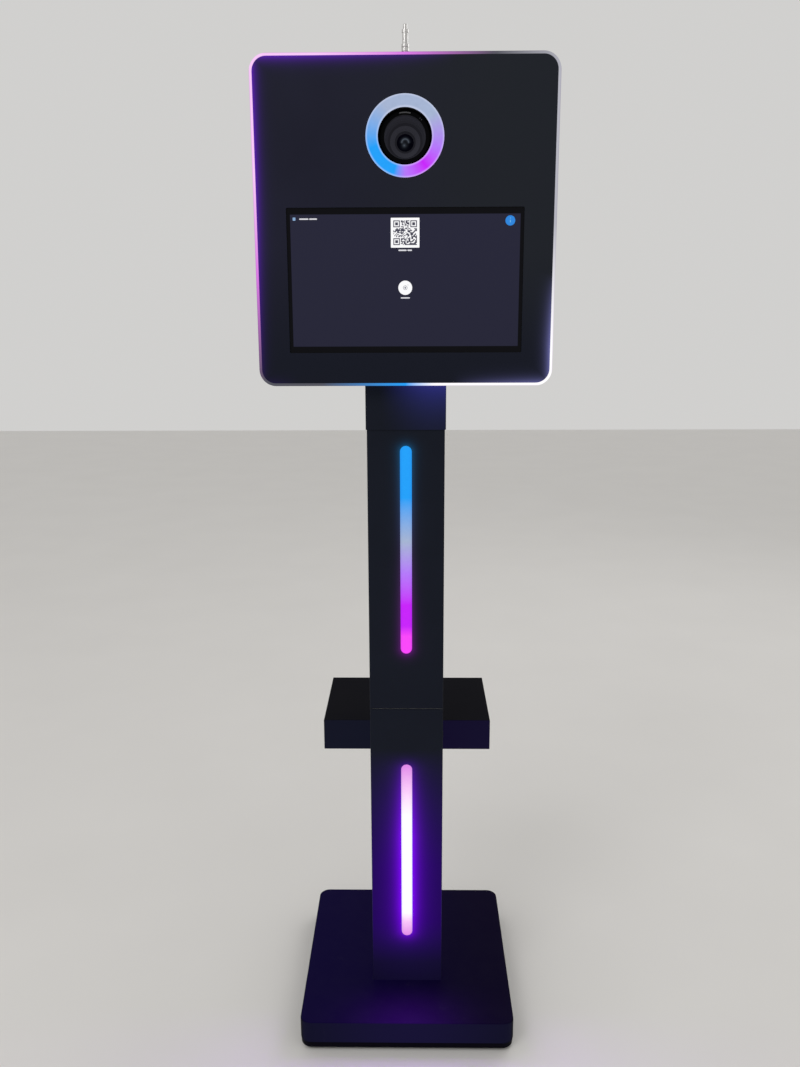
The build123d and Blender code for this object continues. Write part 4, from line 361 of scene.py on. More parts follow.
def from_slot(coat, diffuser):
    """Distance from the edge of a light slot over the column's front, and height in the slot from 0 to 1."""
    low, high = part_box(diffuser)
    middle = (low.z + high.z) / 2
    straight = (high.z - low.z) / 2 - SLOT_BORDER - SLOT_HALF_W
    x, y, z = coat.axes()
    beyond = (abs(z - middle) - straight).larger(0.0)
    gap = ((x * x + beyond * beyond) ** 0.5 - SLOT_HALF_W).larger(0.0)
    return gap, (z - (low.z + SLOT_BORDER)) / (high.z - low.z - 2 * SLOT_BORDER)


lower_coat = powder_coat("lower_column_coat", COLUMN_COAT, 0.5, 0.3)
gap, level = from_slot(lower_coat, "lower_light_diffuser")
# Painted light round the lower slot: a violet glow painted on the front face, as a tight rim and a wider wash that
# fade towards the top of the slot. Under this glow the coat's own colour is painted darker and more violet.
front = (-lower_coat.facing()[1]).above(0.5, 0.4)
reach_level = level * 0.6 + 0.25
near_share = lower_coat.tint(reach_level, (0.15, UNLIT), (0.35, FULLY_LIT), (0.6, FULLY_LIT), (0.9, UNLIT))
wide_share = lower_coat.tint(
    reach_level, (0.0, PARTLY_LIT), (0.15, PARTLY_LIT), (0.3, FULLY_LIT), (0.5, FULLY_LIT), (0.9, UNLIT),
)
painted_rim_glow = lower_coat.join("MULTIPLY", near_share, lower_coat.mix(gap.fade(0.009), (0, 0, 0), (0.185, 0.0, 0.80)))
painted_wide_glow = lower_coat.join("MULTIPLY", wide_share, lower_coat.mix(gap.fade(0.085), (0, 0, 0), (0.027, 0.0, 0.18)))
painted_glow = lower_coat.join("ADD", painted_rim_glow, painted_wide_glow)
lower_coat.feed("Emission Color", lower_coat.mix(front, (0, 0, 0), painted_glow))
under_glow_darkening = lower_coat.join("MULTIPLY", wide_share, lower_coat.mix(front, (0, 0, 0), (1, 1, 1)))
lower_coat.feed("Base Color", lower_coat.mix(under_glow_darkening, lower_coat.colour, (0.0002, 0.0, 0.0020)))
lower_coat.shader.inputs["Emission Strength"].default_value = 1.0
lower_coat.dress("lower_column_shell")
upper_coat = powder_coat("upper_column_coat", COLUMN_COAT, 0.5, 0.3)
gap, level = from_slot(upper_coat, "upper_light_diffuser")
front = (-upper_coat.facing()[1]).above(0.5, 0.4)
# Painted light spill: a faint glow in the bar's hues painted on the front face close round the upper slot.
spill_hue = upper_coat.tint(level, (0.0, (0.08, 0.0, 0.12)), (0.5, (0.02, 0.01, 0.04)), (1.0, (0.0, 0.05, 0.12)))
spill = upper_coat.join("MULTIPLY", spill_hue, upper_coat.mix(gap.fade(0.005) * front, (0, 0, 0), (1, 1, 1)))
upper_coat.feed("Emission Color", spill)
upper_coat.shader.inputs["Emission Strength"].default_value = 1.0
upper_coat.dress("upper_column_shell")
plain_coat = powder_coat("column_coat", COLUMN_COAT, 0.52, 0.35)
plain_coat.dress("lower_column_cover", "upper_column_cover", "shelf_bracket")
zinc.dress("column_joiner")


def black_steel(name):
    """Black-oxide steel of small screws, with grey worn into the recess."""
    steel = Finish(name, Metallic=0.6, Specular_IOR_Level=0.4)
    wear = steel.noise(700, 3, 0.6).above(0.62, 0.1)
    steel.feed("Base Color", steel.mix(wear, (0.012, 0.012, 0.013), (0.07, 0.07, 0.072)))
    steel.feed("Roughness", 0.38 + steel.noise(300) * 0.2)
    steel.bump(steel.noise(1800, 2), 0.00003)
    return steel


screw_black = black_steel("black_screws")
screw_black.dress("lower_cover_screws", "upper_cover_screws", "joiner_screws")
screw_black.dress("hinge_frame_halves", "hinge_door_halves")

# ---------------------------------------------------------------------------
# Column lights: an opal acrylic bar in each slot, an aluminium channel behind
# it and a strip of coloured diodes whose light runs from hue to hue.
# ---------------------------------------------------------------------------


AZURE = srgb(30, 160, 250)
ICE = srgb(165, 180, 210)
VIOLET = srgb(180, 120, 250)
MAGENTA = srgb(200, 30, 250)
PINK = srgb(250, 70, 250)
ORCHID = srgb(220, 120, 230)
BLUSH = srgb(250, 200, 250)
WHITE_HOT = (1.05, 1.02, 1.06)


def lit_bar(name, node, stops, strength):
    """Opal bar lit from behind, its colours given from the bottom of the slot to the top."""
    low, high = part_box(node)
    bar = Finish(
        name, Base_Color=(0.004, 0.004, 0.005), Roughness=0.35, Specular_IOR_Level=0.1, Emission_Strength=strength,
    )
    x, y, z = bar.axes()
    level = (z - low.z) / (high.z - low.z)
    hue = bar.tint(level, *stops)
    edge = 1.0 - (abs(x) / SLOT_HALF_W) ** 4.0 * 0.18
    haze = 0.94 + bar.noise(240, 3) * 0.12
    dimming = edge * haze
    shade = bar.node("ShaderNodeCombineColor", {}, {0: dimming, 1: dimming, 2: 0.5 + dimming * 0.5})
    bar.feed("Emission Color", bar.join("MULTIPLY", hue, shade))
    bar.bump(bar.noise(1600, 2), 0.00003)
    return bar.dress(node)


lower_stops = (
    (0.0, ORCHID), (0.1, BLUSH), (0.15, WHITE_HOT), (0.7, WHITE_HOT), (0.85, BLUSH), (1.0, ORCHID),
)
upper_stops = (
    (0.0, PINK), (0.1, PINK), (0.15, MAGENTA), (0.25, MAGENTA),
    (0.4, VIOLET), (0.55, ICE), (0.75, AZURE), (1.0, AZURE),
)
lit_bar("lower_bar_glow", "lower_light_diffuser", lower_stops, 1.0)
lit_bar("upper_bar_glow", "upper_light_diffuser", upper_stops, 1.0)


BAR_LAMP_OUT = 0.006


def bar_spill(name, node, colour, power):
    """The light that a bar throws on the base and the floor before it."""
    low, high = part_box(node)
    middle = (low.z + high.z) / 2
    place = (0, low.y - BAR_LAMP_OUT, middle)
    aim = (0, low.y - 1, middle)
    lamp = soft_light(name, place, aim, 2 * SLOT_HALF_W, power, colour, high.z - low.z)
    lamp.visible_camera = False
    return lamp


bar_spill("lower_bar_spill", "lower_light_diffuser", (0.45, 0.12, 1.0), 1.1)
bar_spill("upper_bar_spill", "upper_light_diffuser", (0.55, 0.35, 1.0), 0.25)

channel_metal = plated_steel("anodised_channel", (0.62, 0.63, 0.64), 0.4)
channel_metal.dress("lower_light_channel", "upper_light_channel")


def diode_strip(name, *members, board_face):
    """White circuit strip with small yellow-white chips standing on it."""
    strip = Finish(name, Specular_IOR_Level=0.4)
    x, y, z = strip.axes()
    chip = (board_face - y).above(0.0002, 0.0002)
    copper = strip.noise(300, 2).above(0.56, 0.04) * 0.25
    board = strip.mix(copper, (0.72, 0.73, 0.71), (0.62, 0.60, 0.52))
    strip.feed("Base Color", strip.mix(chip, board, (0.82, 0.70, 0.30)))
    strip.feed("Roughness", 0.42 - chip * 0.2)
    strip.bump(strip.noise(900, 2), 0.00004)
    return strip.dress(*members)


strip_low, strip_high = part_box("lower_led_strip")
diode_strip("column_diodes", "lower_led_strip", "upper_led_strip", board_face=strip_high.y - 0.001)

# ---------------------------------------------------------------------------
# Hand knobs: moulded black plastic with a fine spark-eroded grain, each on a
# steel stud. Two clamp the column, two the neck and two the shelf's bracket.
# ---------------------------------------------------------------------------


def moulded(name, colour, roughness=0.5, grain=1300, depth=0.00007):
    """Moulded plastic with spark-eroded grain and finger-polished patches."""
    plastic = Finish(name, Specular_IOR_Level=0.4)
    rub = plastic.noise(40, 3).above(0.55, 0.2)
    dark = tuple(v * 0.8 for v in colour)
    light = tuple(v * 1.2 + 0.001 for v in colour)
    tone = plastic.mix(plastic.noise(18, 3), dark, light)
    plastic.feed("Base Color", tone)
    plastic.feed("Roughness", roughness - rub * 0.12 + plastic.noise(600) * 0.08)
    plastic.bump(plastic.noise(grain, 2, 0.6), depth)
    return plastic


knob_plastic = moulded("knob_plastic", (0.011, 0.011, 0.012), 0.46)
for place in ("column", "sleeve", "shelf"):
    knob_plastic.dress(f"{place}_knob_left", f"{place}_knob_right")

# ---------------------------------------------------------------------------
# Printer shelf: folded sheet behind the column, its coat with faint scuffs. Bounce light
# is painted on its front face, more violet to the right, which leaves the flat top darker.
# ---------------------------------------------------------------------------
shelf_coat = powder_coat("shelf_coat", (0.0022, 0.0022, 0.0052), 0.5, 0.12, 0.012)
x, y, z = shelf_coat.axes()
shelf_front = (-shelf_coat.facing()[1]).above(0.6, 0.4)
# Painted bounce light: a glow painted on the shelf's front face.
bounce = shelf_coat.mix(x.above(0.0, 0.16), srgb(17, 19, 32), srgb(17, 12, 39))
shelf_coat.feed("Emission Color", shelf_coat.mix(shelf_front, (0, 0, 0), bounce))
shelf_coat.shader.inputs["Emission Strength"].default_value = 1.0
shelf_coat.dress("printer_shelf")

# ---------------------------------------------------------------------------
# Neck: the sleeve welded to a flange that bolts under the head. It is coated
# like the column, with a blue glow painted on it that stands in for the light of the lit edge above it.
# ---------------------------------------------------------------------------
neck_coat = powder_coat("neck_coat", COLUMN_COAT, 0.5, 0.3)
sleeve_low, sleeve_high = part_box("head_sleeve")
x, y, z = neck_coat.axes()
# Painted glow: blue, on the right of the front face, fading down from the top of the sleeve.
drop = (sleeve_high.z - z).fade(0.03)
side = (x + 0.02).above(0.02, 0.09)
front_side = (-neck_coat.facing()[1]).above(0.5, 0.4)
neck_coat.feed("Emission Color", neck_coat.mix(drop * side * front_side, (0, 0, 0), srgb(44, 46, 132)))
neck_coat.shader.inputs["Emission Strength"].default_value = 1.0
neck_coat.dress("head_sleeve")

# ---------------------------------------------------------------------------
# Head skin: a flat steel face plate with rounded corners and, behind it, a
# folded steel box. Both are powder-coated a charcoal a little lighter than the
# column. On the face plate, shade is painted darker towards the bottom and lighter on
# the right, and the glow of the lit edge is painted on the coat near the rim.
# ---------------------------------------------------------------------------
PANEL_COAT = (0.0140, 0.0146, 0.0300)
PANEL_COAT_SHADED_LOW = (0.0088, 0.0108, 0.0205)
PANEL_COAT_LIT_RIGHT = (0.0165, 0.0195, 0.0270)
HOUSING_COAT = (0.0075, 0.0085, 0.0125)
panel_low, panel_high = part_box("front_panel")
head_middle = (panel_low.z + panel_high.z) / 2
panel_half_w = (panel_high.x - panel_low.x) / 2
panel_half_h = (panel_high.z - panel_low.z) / 2


def round_the_head(finish):
    """Place round the head's edge: 0 bottom middle, 0.25 left, 0.5 top, 0.75 right, 1 bottom again."""
    x, y, z = finish.axes()
    turn = finish.node("ShaderNodeMath", {"operation": "ARCTAN2"}, {0: x, 1: z - head_middle})
    return 0.5 + turn * (0.5 / math.pi)


def edge_gap(finish):
    """Distance in from the panel's rim, in metres."""
    x, y, z = finish.axes()
    return (panel_half_w - abs(x)).smaller(panel_half_h - abs(z - head_middle)).larger(0.0)


NO_SPILL = (0.0, 0.0, 0.0)
VIOLET_SPILL = (0.09, 0.0, 0.4)
PALE_SPILL = (0.15, 0.15, 0.4)
rim_glow_stops = (
    (0.0, NO_SPILL), (0.1, NO_SPILL), (0.3, VIOLET_SPILL), (0.4, VIOLET_SPILL), (0.55, NO_SPILL),
    (0.8, NO_SPILL), (0.86, PALE_SPILL), (0.95, NO_SPILL), (1.0, NO_SPILL),
)
panel_coat = powder_coat("face_plate_coat", PANEL_COAT, 0.5, 0.2)
# Painted glow from the lit edge, on the front of the plate near its rim, in hues that run round the head.
gap = edge_gap(panel_coat)
rim_hue = panel_coat.tint(round_the_head(panel_coat), *rim_glow_stops)
painted_rim_glow = panel_coat.join("MULTIPLY", rim_hue, panel_coat.mix(gap.fade(0.0052), (0, 0, 0), (1, 1, 1)))
front_face = (-panel_coat.facing()[1]).above(0.4, 0.5)
x, y, z = panel_coat.axes()
# Painted shade and light: the plate's colour is painted darker towards the bottom and lighter and greyer on the
# right.
tone = panel_coat.mix(x.above(0.0, 0.3), panel_coat.colour, PANEL_COAT_LIT_RIGHT)
panel_coat.feed("Base Color", panel_coat.mix(z.above(head_middle - 0.12, 0.2), PANEL_COAT_SHADED_LOW, tone))
panel_coat.feed("Emission Color", panel_coat.mix(front_face, (0, 0, 0), painted_rim_glow))
panel_coat.shader.inputs["Emission Strength"].default_value = 1.0
panel_coat.dress("front_panel")
housing_coat = powder_coat("housing_coat", HOUSING_COAT, 0.5, 0.55)
housing_coat.dress("head_housing", "rear_door", "camera_shelf")

# ---------------------------------------------------------------------------
# Lit edge: a clear acrylic frame clamped between the face plate and the box.
# Diodes round its inside light it, and the rim glows in hues that run round
# the head. A few stretches are dim or show the bare acrylic.
# ---------------------------------------------------------------------------
SLATE = srgb(80, 80, 90)
SILVER = srgb(180, 180, 190)
edge_stops = (
    (0.0, AZURE), (0.08, SLATE), (0.12, SLATE), (0.2, ORCHID), (0.3, BLUSH), (0.42, BLUSH), (0.5, ORCHID),
    (0.58, SLATE), (0.63, SILVER), (0.75, SILVER), (0.86, WHITE_HOT), (0.97, WHITE_HOT), (1.0, AZURE),
)
acrylic = Finish("lit_acrylic", Base_Color=(0.008, 0.008, 0.009), Roughness=0.28, Specular_IOR_Level=0.12)
hue = acrylic.tint(round_the_head(acrylic), *edge_stops)
ripple = 0.9 + acrylic.noise(120, 3) * 0.2
outer_rim = (-edge_gap(acrylic)).above(-0.012, 0.006)
x, y, z = acrylic.axes()
beyond = (abs(x) - panel_half_w).larger(abs(z - head_middle) - panel_half_h)
proud_share = acrylic.mix(beyond.above(0.0037, 0.0012), (1, 1, 1), (0.72, 0.66, 0.74))
lit_share = acrylic.mix(outer_rim, (0.25, 0.22, 0.3), proud_share)
acrylic.feed("Emission Color", acrylic.join("MULTIPLY", hue, lit_share))
acrylic.feed("Roughness", 0.22 + ripple * 0.08)
acrylic.shader.inputs["Emission Strength"].default_value = 1.0
acrylic.bump(acrylic.noise(900, 2), 0.00004)
acrylic.dress("edge_light_band")
diode_strip("edge_diodes", "edge_led_strip", board_face=-1.0)

# ---------------------------------------------------------------------------
# Door furniture: hinges of black steel with plated pins, and a chromed cam
# lock that shows its round face and key slot at the rear.
# ---------------------------------------------------------------------------


def bright_metal(name, colour=(0.62, 0.62, 0.63), roughness=0.10):
    """Polished plating with hairline polish marks and a few dull fingerprints."""
    metal = Finish(name, Metallic=1.0)
    hair = metal.noise(900, 3, 0.6, stretch=(1.0, 1.0, 0.05))
    print_mark = metal.noise(140, 4, 0.65).above(0.6, 0.12)
    metal.feed("Base Color", metal.mix(print_mark * 0.4, colour, tuple(v * 0.72 for v in colour)))
    metal.feed("Roughness", roughness + hair * 0.08 + print_mark * 0.12)
    metal.bump(hair, 0.00002)
    return metal


chrome = bright_metal("bright_chrome")
chrome.dress("cam_lock")

# ---------------------------------------------------------------------------
# Accessory spigot: a turned and chromed stud on the head with a grooved
# collar, held by a nut inside. Small lamps and microphones clamp to it.
# ---------------------------------------------------------------------------
spigot_metal = bright_metal("spigot_chrome", (0.66, 0.65, 0.64), 0.13)
x, y, z = spigot_metal.axes()
rings = spigot_metal.node("ShaderNodeMath", {"operation": "SINE"}, {0: z * 9000.0})
spigot_metal.bump(rings, 0.00001, 0.4)
spigot_metal.dress("accessory_spigot")

# ---------------------------------------------------------------------------
# Touch display: a black-bordered cover glass behind the window, with the lit
# area printed through it. What it shows is laid out in the sections below.
# ---------------------------------------------------------------------------
glass_low, glass_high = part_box("monitor_glass")
lit_low, lit_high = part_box("display_panel")
lit_w = lit_high.x - lit_low.x
lit_h = lit_high.z - lit_low.z
SCREEN_BACK = srgb(35, 35, 53)

cover_glass = Finish("cover_glass", Base_Color=(0.0015, 0.0015, 0.0035), Roughness=0.07, Specular_IOR_Level=0.10)
x, y, z = cover_glass.axes()
inset = (x - lit_low.x).smaller(lit_high.x - x).smaller(z - lit_low.z).smaller(lit_high.z - z)
lit = inset.above(0.0, 0.0006)
deep = cover_glass.mix((z - lit_low.z) * (1.0 / lit_h), tuple(v * 0.93 for v in SCREEN_BACK), SCREEN_BACK)
cover_glass.feed("Emission Color", cover_glass.mix(lit, (0, 0, 0), deep))
cover_glass.shader.inputs["Emission Strength"].default_value = 1.0
smear = cover_glass.noise(30, 5, 0.6, stretch=(1.0, 1.0, 0.5)).above(0.58, 0.12)
cover_glass.feed("Roughness", 0.06 + smear * 0.10)
cover_glass.dress("monitor_glass")
lcd = Finish("lit_panel", Base_Color=(0.01, 0.01, 0.015), Roughness=0.3, Emission_Strength=0.4)
lcd.feed("Emission Color", lcd.mix(lcd.noise(20), SCREEN_BACK, tuple(v * 0.8 for v in SCREEN_BACK)))
lcd.dress("display_panel")


class Layer:
    """A flat printed shape on the lit screen: outlines in display millimetres from its middle."""

    def __init__(self, name, colour, lift, glow=0.92):
        self.name = name
        self.front = glass_low.y - lift
        self.body = "head"
        self.slot = "screen"
        self.shapes = bmesh.new()
        self.finish = Finish(name, Base_Color=(0.01, 0.01, 0.01), Roughness=0.12, Emission_Strength=glow)
        grid = self.finish.noise(2200, 1)
        self.finish.feed("Emission Color", self.finish.mix(grid, tuple(v * 0.97 for v in colour), colour))

    def place(self, across, up):
        """A point of the screen, given as parts of its width and height from its upper left."""
        return lit_low.x + across * lit_w, lit_high.z - up * lit_h

    def polygon(self, points):
        """A flat face with a thin edge, in front of the glass."""
        front = self.front
        ring = [self.shapes.verts.new((px, front, pz)) for px, pz in points]
        back = [self.shapes.verts.new((px, front + SCREEN_LAYER_T, pz)) for px, pz in points]
        self.shapes.faces.new(ring)
        self.shapes.faces.new(list(reversed(back)))
        for i in range(len(ring)):
            j = (i + 1) % len(ring)
            self.shapes.faces.new((ring[i], back[i], back[j], ring[j]))

    def plate(self, across, up, width, height, corner=0.0, middle=False):
        """Rounded rectangle in parts of the screen's width; up is its upper edge or its middle."""
        cx, top = self.place(across, up)
        half_w = width * lit_w / 2
        half_h = height * lit_w / 2
        cz = top if middle else top - half_h
        radius = max(min(corner * lit_w, half_w * 0.98, half_h * 0.98), 0.0001)
        points = []
        for quarter, (sx, sz) in enumerate(((1, 1), (-1, 1), (-1, -1), (1, -1))):
            for step in range(CORNER_STEPS + 1):
                angle = math.pi / 2 * (quarter + step / CORNER_STEPS)
                points.append((
                    cx + sx * (half_w - radius) + radius * math.cos(angle),
                    cz + sz * (half_h - radius) + radius * math.sin(angle),
                ))
        self.polygon(points)

    def disc(self, across, up, radius, steps=48):
        """Round face; the radius in parts of the screen's width."""
        cx, cz = self.place(across, up)
        reach = radius * lit_w
        angles = [2 * math.pi * i / steps for i in range(steps)]
        self.polygon([(cx + reach * math.cos(a), cz + reach * math.sin(a)) for a in angles])

    def ring_of(self, across, up, inner, outer, steps=36):
        """Flat ring; its radii in parts of the screen's width."""
        cx, cz = self.place(across, up)
        angles = [2 * math.pi * i / steps for i in range(steps)]
        loops = []
        for reach, depth in ((inner, 0.0), (outer, 0.0), (outer, SCREEN_LAYER_T), (inner, SCREEN_LAYER_T)):
            front = self.front + depth
            spots = [(cx + reach * lit_w * math.cos(a), front, cz + reach * lit_w * math.sin(a)) for a in angles]
            loops.append([self.shapes.verts.new(spot) for spot in spots])
        for first, second in zip(loops, loops[1:] + loops[:1]):
            for i in range(steps):
                j = (i + 1) % steps
                self.shapes.faces.new((first[i], first[j], second[j], second[i]))

    def finished(self):
        """Makes the object, which moves with its body."""
        bmesh.ops.recalc_face_normals(self.shapes, faces=self.shapes.faces)
        mesh = bpy.data.meshes.new(self.name)
        self.shapes.to_mesh(mesh)
        mesh.materials.append(self.finish.material)
        piece = bpy.data.objects.new(self.name, mesh)
        bpy.context.scene.collection.objects.link(piece)
        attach(piece, self.body)
        return piece


SCREEN_LAYER_T = 0.00008
CORNER_STEPS = 6

# The start button of the display: a pale disc with a plain picture of a camera.
start_disc = Layer("screen_start_disc", (0.95, 0.95, 0.97), 0.0002, 1.0)
start_disc.disc(0.5, 0.55, 0.0305)
start_disc.finished()
start_ring = Layer("screen_start_ring", srgb(120, 122, 136), 0.00032)
start_ring.ring_of(0.5, 0.55, 0.0075, 0.0095)
start_ring.finished()
start_mark = Layer("screen_start_mark", srgb(134, 136, 150), 0.00032)
start_mark.disc(0.5, 0.55, 0.0042, 24)
start_mark.plate(0.5121, 0.5285, 0.0045, 0.0022, 0.0008, middle=True)
start_mark.finished()

# The card at the top of the screen: white, with a block pattern made up here.
# It reads as a code card but holds no message.
CARD_W = 0.1245
CARD_CELLS = 25
CELL_MARGIN = 2.6
card = Layer("screen_card", (0.96, 0.96, 0.97), 0.0002, 1.0)
card.plate(0.5, 0.027, CARD_W, CARD_W, 0.002)
card.finished()
blocks = Layer("screen_card_blocks", srgb(58, 58, 78), 0.00032)
pattern = random.Random(7)
cell = CARD_W / (CARD_CELLS + 2 * CELL_MARGIN)
card_left = 0.5 - CARD_W / 2 + cell * CELL_MARGIN
screen_shape = lit_w / lit_h


def in_corner_mark(row, column):
    """True where one of the three square corner marks stands."""
    near_top = row < 8
    near_left = column < 8
    return (near_top and near_left) or (near_top and column > CARD_CELLS - 9) or (near_left and row > CARD_CELLS - 9)


for row in range(CARD_CELLS):
    column = 0
    while column < CARD_CELLS:
        run = 0
        while column + run < CARD_CELLS and not in_corner_mark(row, column + run) and pattern.random() < 0.52:
            run += 1
        if run:
            centre = card_left + (column + run / 2) * cell
            up = 0.027 + (cell * (CELL_MARGIN + row)) * screen_shape
            blocks.plate(centre, up, cell * run, cell, 0.0)
        column += run + 1
# A corner square: foot and top bars, two sides and a filled middle, each as width, height and its place.
CORNER_BARS = ((7, 1, 0, 0), (7, 1, 0, 6), (1, 5, -3, 1), (1, 5, 3, 1), (3, 3, 0, 2))
for row, column in ((0, 0), (0, CARD_CELLS - 7), (CARD_CELLS - 7, 0)):
    for width, height, shift_across, shift_up in CORNER_BARS:
        centre = card_left + (column + 3.5 + shift_across) * cell
        up = 0.027 + cell * (CELL_MARGIN + row + shift_up) * screen_shape
        blocks.plate(centre, up, cell * width, cell * height, 0.0)
blocks.finished()

# Captions are plain rounded strokes of uneven length where words would be.
captions = Layer("screen_captions", srgb(226, 226, 232), 0.0002)


def caption(across, up, words, height=0.0042, gap=0.0034):
    """A row of plain strokes, centred, in parts of the screen's width."""
    whole = sum(words) + gap * (len(words) - 1)
    at = across - whole / 2
    for word in words:
        captions.plate(at + word / 2, up, word, height, height / 2, middle=True)
        at += word + gap


caption(0.5, 0.268, (0.036, 0.020), 0.0062)
caption(0.5, 0.627, (0.040,), 0.0052)
caption(0.0785, 0.0335, (0.040, 0.034), 0.0058)
captions.finished()
home_mark = Layer("screen_home_mark", srgb(150, 190, 232), 0.0002)
home_mark.plate(0.0175, 0.033, 0.0115, 0.0125, 0.002, middle=True)
home_mark.finished()
home_lines = Layer("screen_home_lines", srgb(60, 92, 140), 0.00032)
for level in (0.0275, 0.033, 0.0385):
    home_lines.plate(0.0175, level, 0.0065, 0.0011, 0.0004, middle=True)
home_lines.finished()
corner_button = Layer("screen_corner_button", srgb(0, 132, 226), 0.0002)
corner_button.disc(0.956, 0.051, 0.0212)
corner_button.finished()
corner_mark = Layer("screen_corner_mark", srgb(120, 200, 246), 0.00032)
corner_mark.plate(0.956, 0.056, 0.0028, 0.0105, 0.001, middle=True)
corner_mark.disc(0.956, 0.0335, 0.0018, 16)
corner_mark.finished()

# ---------------------------------------------------------------------------
# Display case: the moulded rear tray of the monitor, with its raised back box.
# ---------------------------------------------------------------------------
case_plastic = moulded("case_plastic", (0.012, 0.012, 0.013), 0.5, 1100)
case_plastic.dress("monitor_case", "mini_pc")

# ---------------------------------------------------------------------------
# Ring light: an opal acrylic ring flush in the face plate, lit by a circle of
# diodes in turning colours, with a matt black pan behind it.
# ---------------------------------------------------------------------------
ring_low, ring_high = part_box("ring_light_diffuser")
lens_middle = (ring_low.z + ring_high.z) / 2
RING_INNER = 0.040
RING_OUTER = 0.0576


def from_lens_axis(finish):
    """Distance from the lens axis, and the place round it from 0 at the foot to 1, clockwise."""
    x, y, z = finish.axes()
    up = z - lens_middle
    turn = finish.node("ShaderNodeMath", {"operation": "ARCTAN2"}, {0: x, 1: up})
    return (x * x + up * up) ** 0.5, 0.5 + turn * (0.5 / math.pi)


ring_stops = (
    (0.0, VIOLET), (0.05, AZURE), (0.2, AZURE), (0.4, ICE),
    (0.65, ICE), (0.8, VIOLET), (0.9, MAGENTA), (1.0, VIOLET),
)
opal_ring = Finish("opal_ring", Base_Color=(0.003, 0.003, 0.004), Roughness=0.38, Specular_IOR_Level=0.08)
span, place_round = from_lens_axis(opal_ring)
ring_hue = opal_ring.tint(place_round, *ring_stops)
share = (span - RING_INNER) * (1.0 / (RING_OUTER - RING_INNER))
bright_edge = abs(share - 0.5).above(0.40, 0.16)
soft_spots = opal_ring.noise(150, 2) * 0.14 + 0.93
whole = opal_ring.mix(bright_edge * 0.32, ring_hue, (0.80, 0.82, 1.0))
shade = opal_ring.node("ShaderNodeCombineColor", {}, {0: soft_spots, 1: soft_spots, 2: soft_spots})
opal_ring.feed("Emission Color", opal_ring.join("MULTIPLY", whole, shade))
opal_ring.shader.inputs["Emission Strength"].default_value = 1.0
opal_ring.bump(opal_ring.noise(1500, 2), 0.00003)
opal_ring.dress("ring_light_diffuser")
matt_black = moulded("matt_black_pan", (0.006, 0.006, 0.007), 0.65, 1800)
matt_black.dress("ring_light_pan")
PAN_FLOOR = 0.0036
pan_low, pan_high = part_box("ring_light_pan")
diode_strip("ring_diodes", "ring_light_board", board_face=pan_high.y - PAN_FLOOR)

# ---------------------------------------------------------------------------
# Camera: a die-cast body in black plastic skin on a plated tray, with the
# screw that holds it, a satin shutter button and a zoom lens in front.
# ---------------------------------------------------------------------------
camera_skin = moulded("camera_skin", (0.010, 0.010, 0.011), 0.55, 700, 0.00015)
camera_skin.dress("camera_body")
satin_metal = bright_metal("satin_button", (0.34, 0.34, 0.35), 0.28)
satin_metal.dress("shutter_button")
zinc.dress("camera_tray")

lens_black = Finish("lens_black", Specular_IOR_Level=0.03)
span = from_lens_axis(lens_black)[0]
x, y, z = lens_black.axes()
nose_low, nose_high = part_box("lens_barrel")
LENS_BORE_R = 0.0305
turned = lens_black.node("ShaderNodeMath", {"operation": "SINE"}, {0: span * 5200.0})
baffle = lens_black.node("ShaderNodeMath", {"operation": "SINE"}, {0: y * 900.0})
inside = 1.0 - span.above(LENS_BORE_R, 0.001)
sheen = lens_black.noise(60, 3)
outside = lens_black.mix(sheen, (0.0010, 0.0010, 0.0014), (0.0020, 0.0020, 0.0026))
# Painted light on the baffle steps: inside the bore the colour is painted lighter grey in bands along the depth, and
# deeper in a banded glow is painted on.
bore = lens_black.mix(0.5 + baffle * 0.5, (0.012, 0.012, 0.015), (0.040, 0.040, 0.050))
lens_black.feed("Base Color", lens_black.mix(inside, outside, bore))
depth = (y - nose_low.y).above(0.004, 0.012)
rings = lens_black.mix(0.5 + baffle * 0.5, (0.009, 0.009, 0.012), (0.020, 0.020, 0.026))
lens_black.feed("Emission Color", lens_black.mix(inside * depth, (0, 0, 0), rings))
lens_black.shader.inputs["Emission Strength"].default_value = 1.0
lens_black.feed("Roughness", 0.34 + sheen * 0.1 + inside * 0.25)
lens_black.bump(turned, 0.00002, 0.5)
lens_black.bump(baffle * inside, 0.00012, 0.8)
lens_black.dress("lens_barrel")
# A plain curved bar and two ticks, printed in dim grey on the front of the nose.
NOSE_PRINT_R = (0.0334, 0.0350)


def nose_print(name, first, last, steps):
    """A flat printed arc on the nose, between two angles in degrees clockwise from the top."""
    mark = Layer(name, (0, 0, 0), 0.0, 0.0)
    mark.front = nose_low.y - SCREEN_LAYER_T
    mark.body = "camera"
    mark.slot = "lens_black"
    ink_cloud = mark.finish.noise(400)
    mark.finish.feed("Base Color", mark.finish.mix(ink_cloud, (0.06, 0.06, 0.065), (0.10, 0.10, 0.105)))
    angles = [math.radians(first + (last - first) * i / steps) for i in range(steps + 1)]
    inner, outer = NOSE_PRINT_R
    arc = [(outer * math.sin(a), lens_middle + outer * math.cos(a)) for a in angles]
    arc += [(inner * math.sin(a), lens_middle + inner * math.cos(a)) for a in reversed(angles)]
    mark.polygon(arc)
    return mark.finished()


nose_print("nose_bar", -14, 14, 16)
nose_print("nose_tick_upper", 40, 41, 1)
nose_print("nose_tick_lower", 45, 46, 1)
grip_rubber = moulded("grip_rubber", (0.010, 0.010, 0.010), 0.7, 1500)
grip_rubber.dress("zoom_ring", "focus_ring")
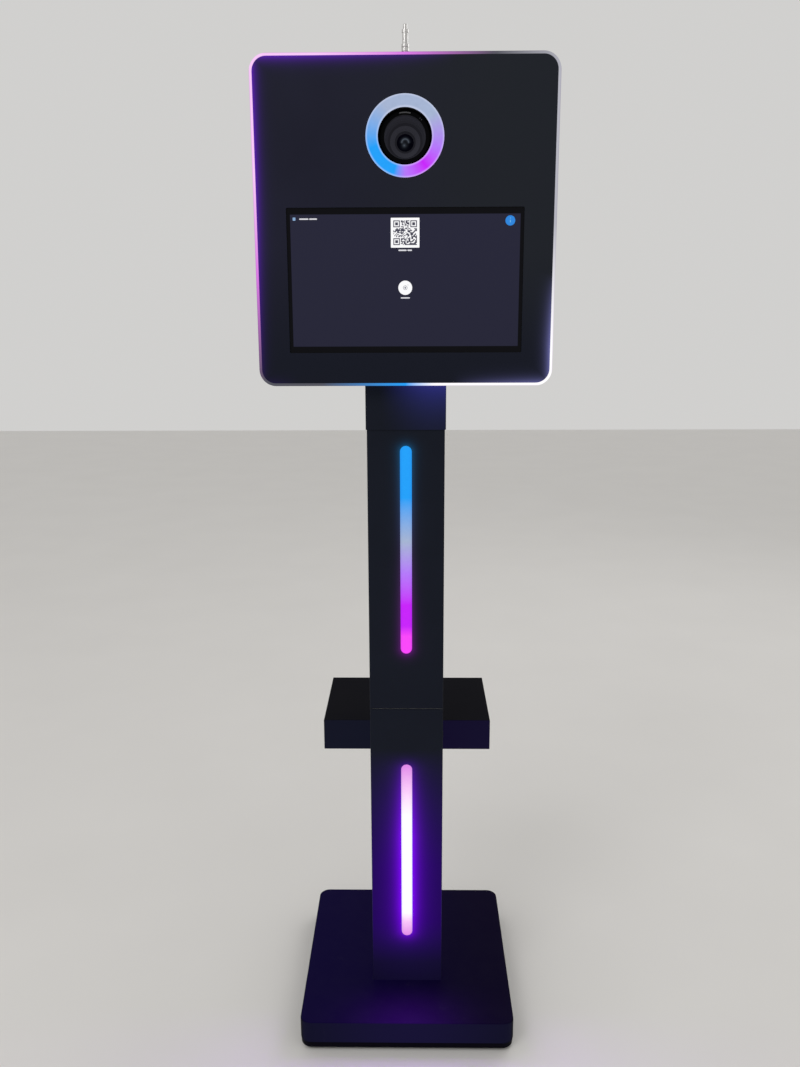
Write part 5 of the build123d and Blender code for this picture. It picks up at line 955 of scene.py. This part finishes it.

# The glass: coated, with a violet tint painted into its colour by the angle it is seen at,
# standing in for the coating's reflection, and a painted highlight in pale green-blue.
coated = Finish("coated_glass", Base_Color=(0.004, 0.005, 0.010), Roughness=0.03, Specular_IOR_Level=0.05)
veil = coated.node("ShaderNodeLayerWeight", {}, {"Blend": 0.35}, output=1)
coated.feed("Base Color", coated.mix(veil, (0.001, 0.001, 0.004), (0.02, 0.008, 0.04)))
span = from_lens_axis(coated)[0]
x, y, z = coated.axes()
# Painted highlight: a crescent over the upper half round the middle and a small spot below it, glowing pale
# green-blue.
crescent = (abs(span - 0.0052) / 0.0010).fade(1.0) * (z - lens_middle + 0.0005).above(0.0, 0.003)
spot = (((x + 0.0015) ** 2.0 + (z - lens_middle + 0.0040) ** 2.0) ** 0.5 / 0.0016).fade(1.0)
glint = (crescent + spot).smaller(1.0)
coated.feed("Emission Color", coated.mix(glint, (0.0004, 0.0005, 0.0014), (0.075, 0.090, 0.115)))
coated.shader.inputs["Emission Strength"].default_value = 1.0
coated.feed("Roughness", 0.02 + coated.noise(60, 3) * 0.03)
coated.dress("front_element")

# ---------------------------------------------------------------------------
# Electronics: a perforated-steel power supply, a light controller in a pale
# moulded box, the small computer already dressed above and a cooling fan.
# ---------------------------------------------------------------------------
TERMINAL_DEPTH = 0.016
supply_steel = plated_steel("supply_steel", (0.50, 0.50, 0.49), 0.42)
x, y, z = supply_steel.axes()
supply_low, supply_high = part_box("power_supply")
terminals = (y - (supply_high.y - TERMINAL_DEPTH)).above(0.0, 0.0004)
supply_steel.feed("Base Color", supply_steel.mix(terminals, (0.46, 0.46, 0.45), (0.015, 0.015, 0.016)))
supply_steel.feed("Metallic", 1.0 - terminals)
supply_steel.dress("power_supply")
controller_plastic = moulded("controller_plastic", (0.50, 0.50, 0.48), 0.45, 1200)
controller_plastic.dress("led_controller")
fan_plastic = moulded("fan_plastic", (0.013, 0.013, 0.014), 0.42, 1500, 0.00004)
fan_plastic.dress("fan_frame", "fan_rotor")

# ---------------------------------------------------------------------------
# Mains inlet and switch under the head: glass-filled black moulding with
# plated blades, and a glossy red rocker.
# ---------------------------------------------------------------------------
inlet_plastic = moulded("inlet_plastic", (0.010, 0.010, 0.011), 0.5, 1400)
inlet_plastic.dress("mains_panel")
rocker_plastic = moulded("rocker_plastic", (0.28, 0.008, 0.008), 0.22, 900, 0.00002)
rocker_plastic.dress("power_rocker")
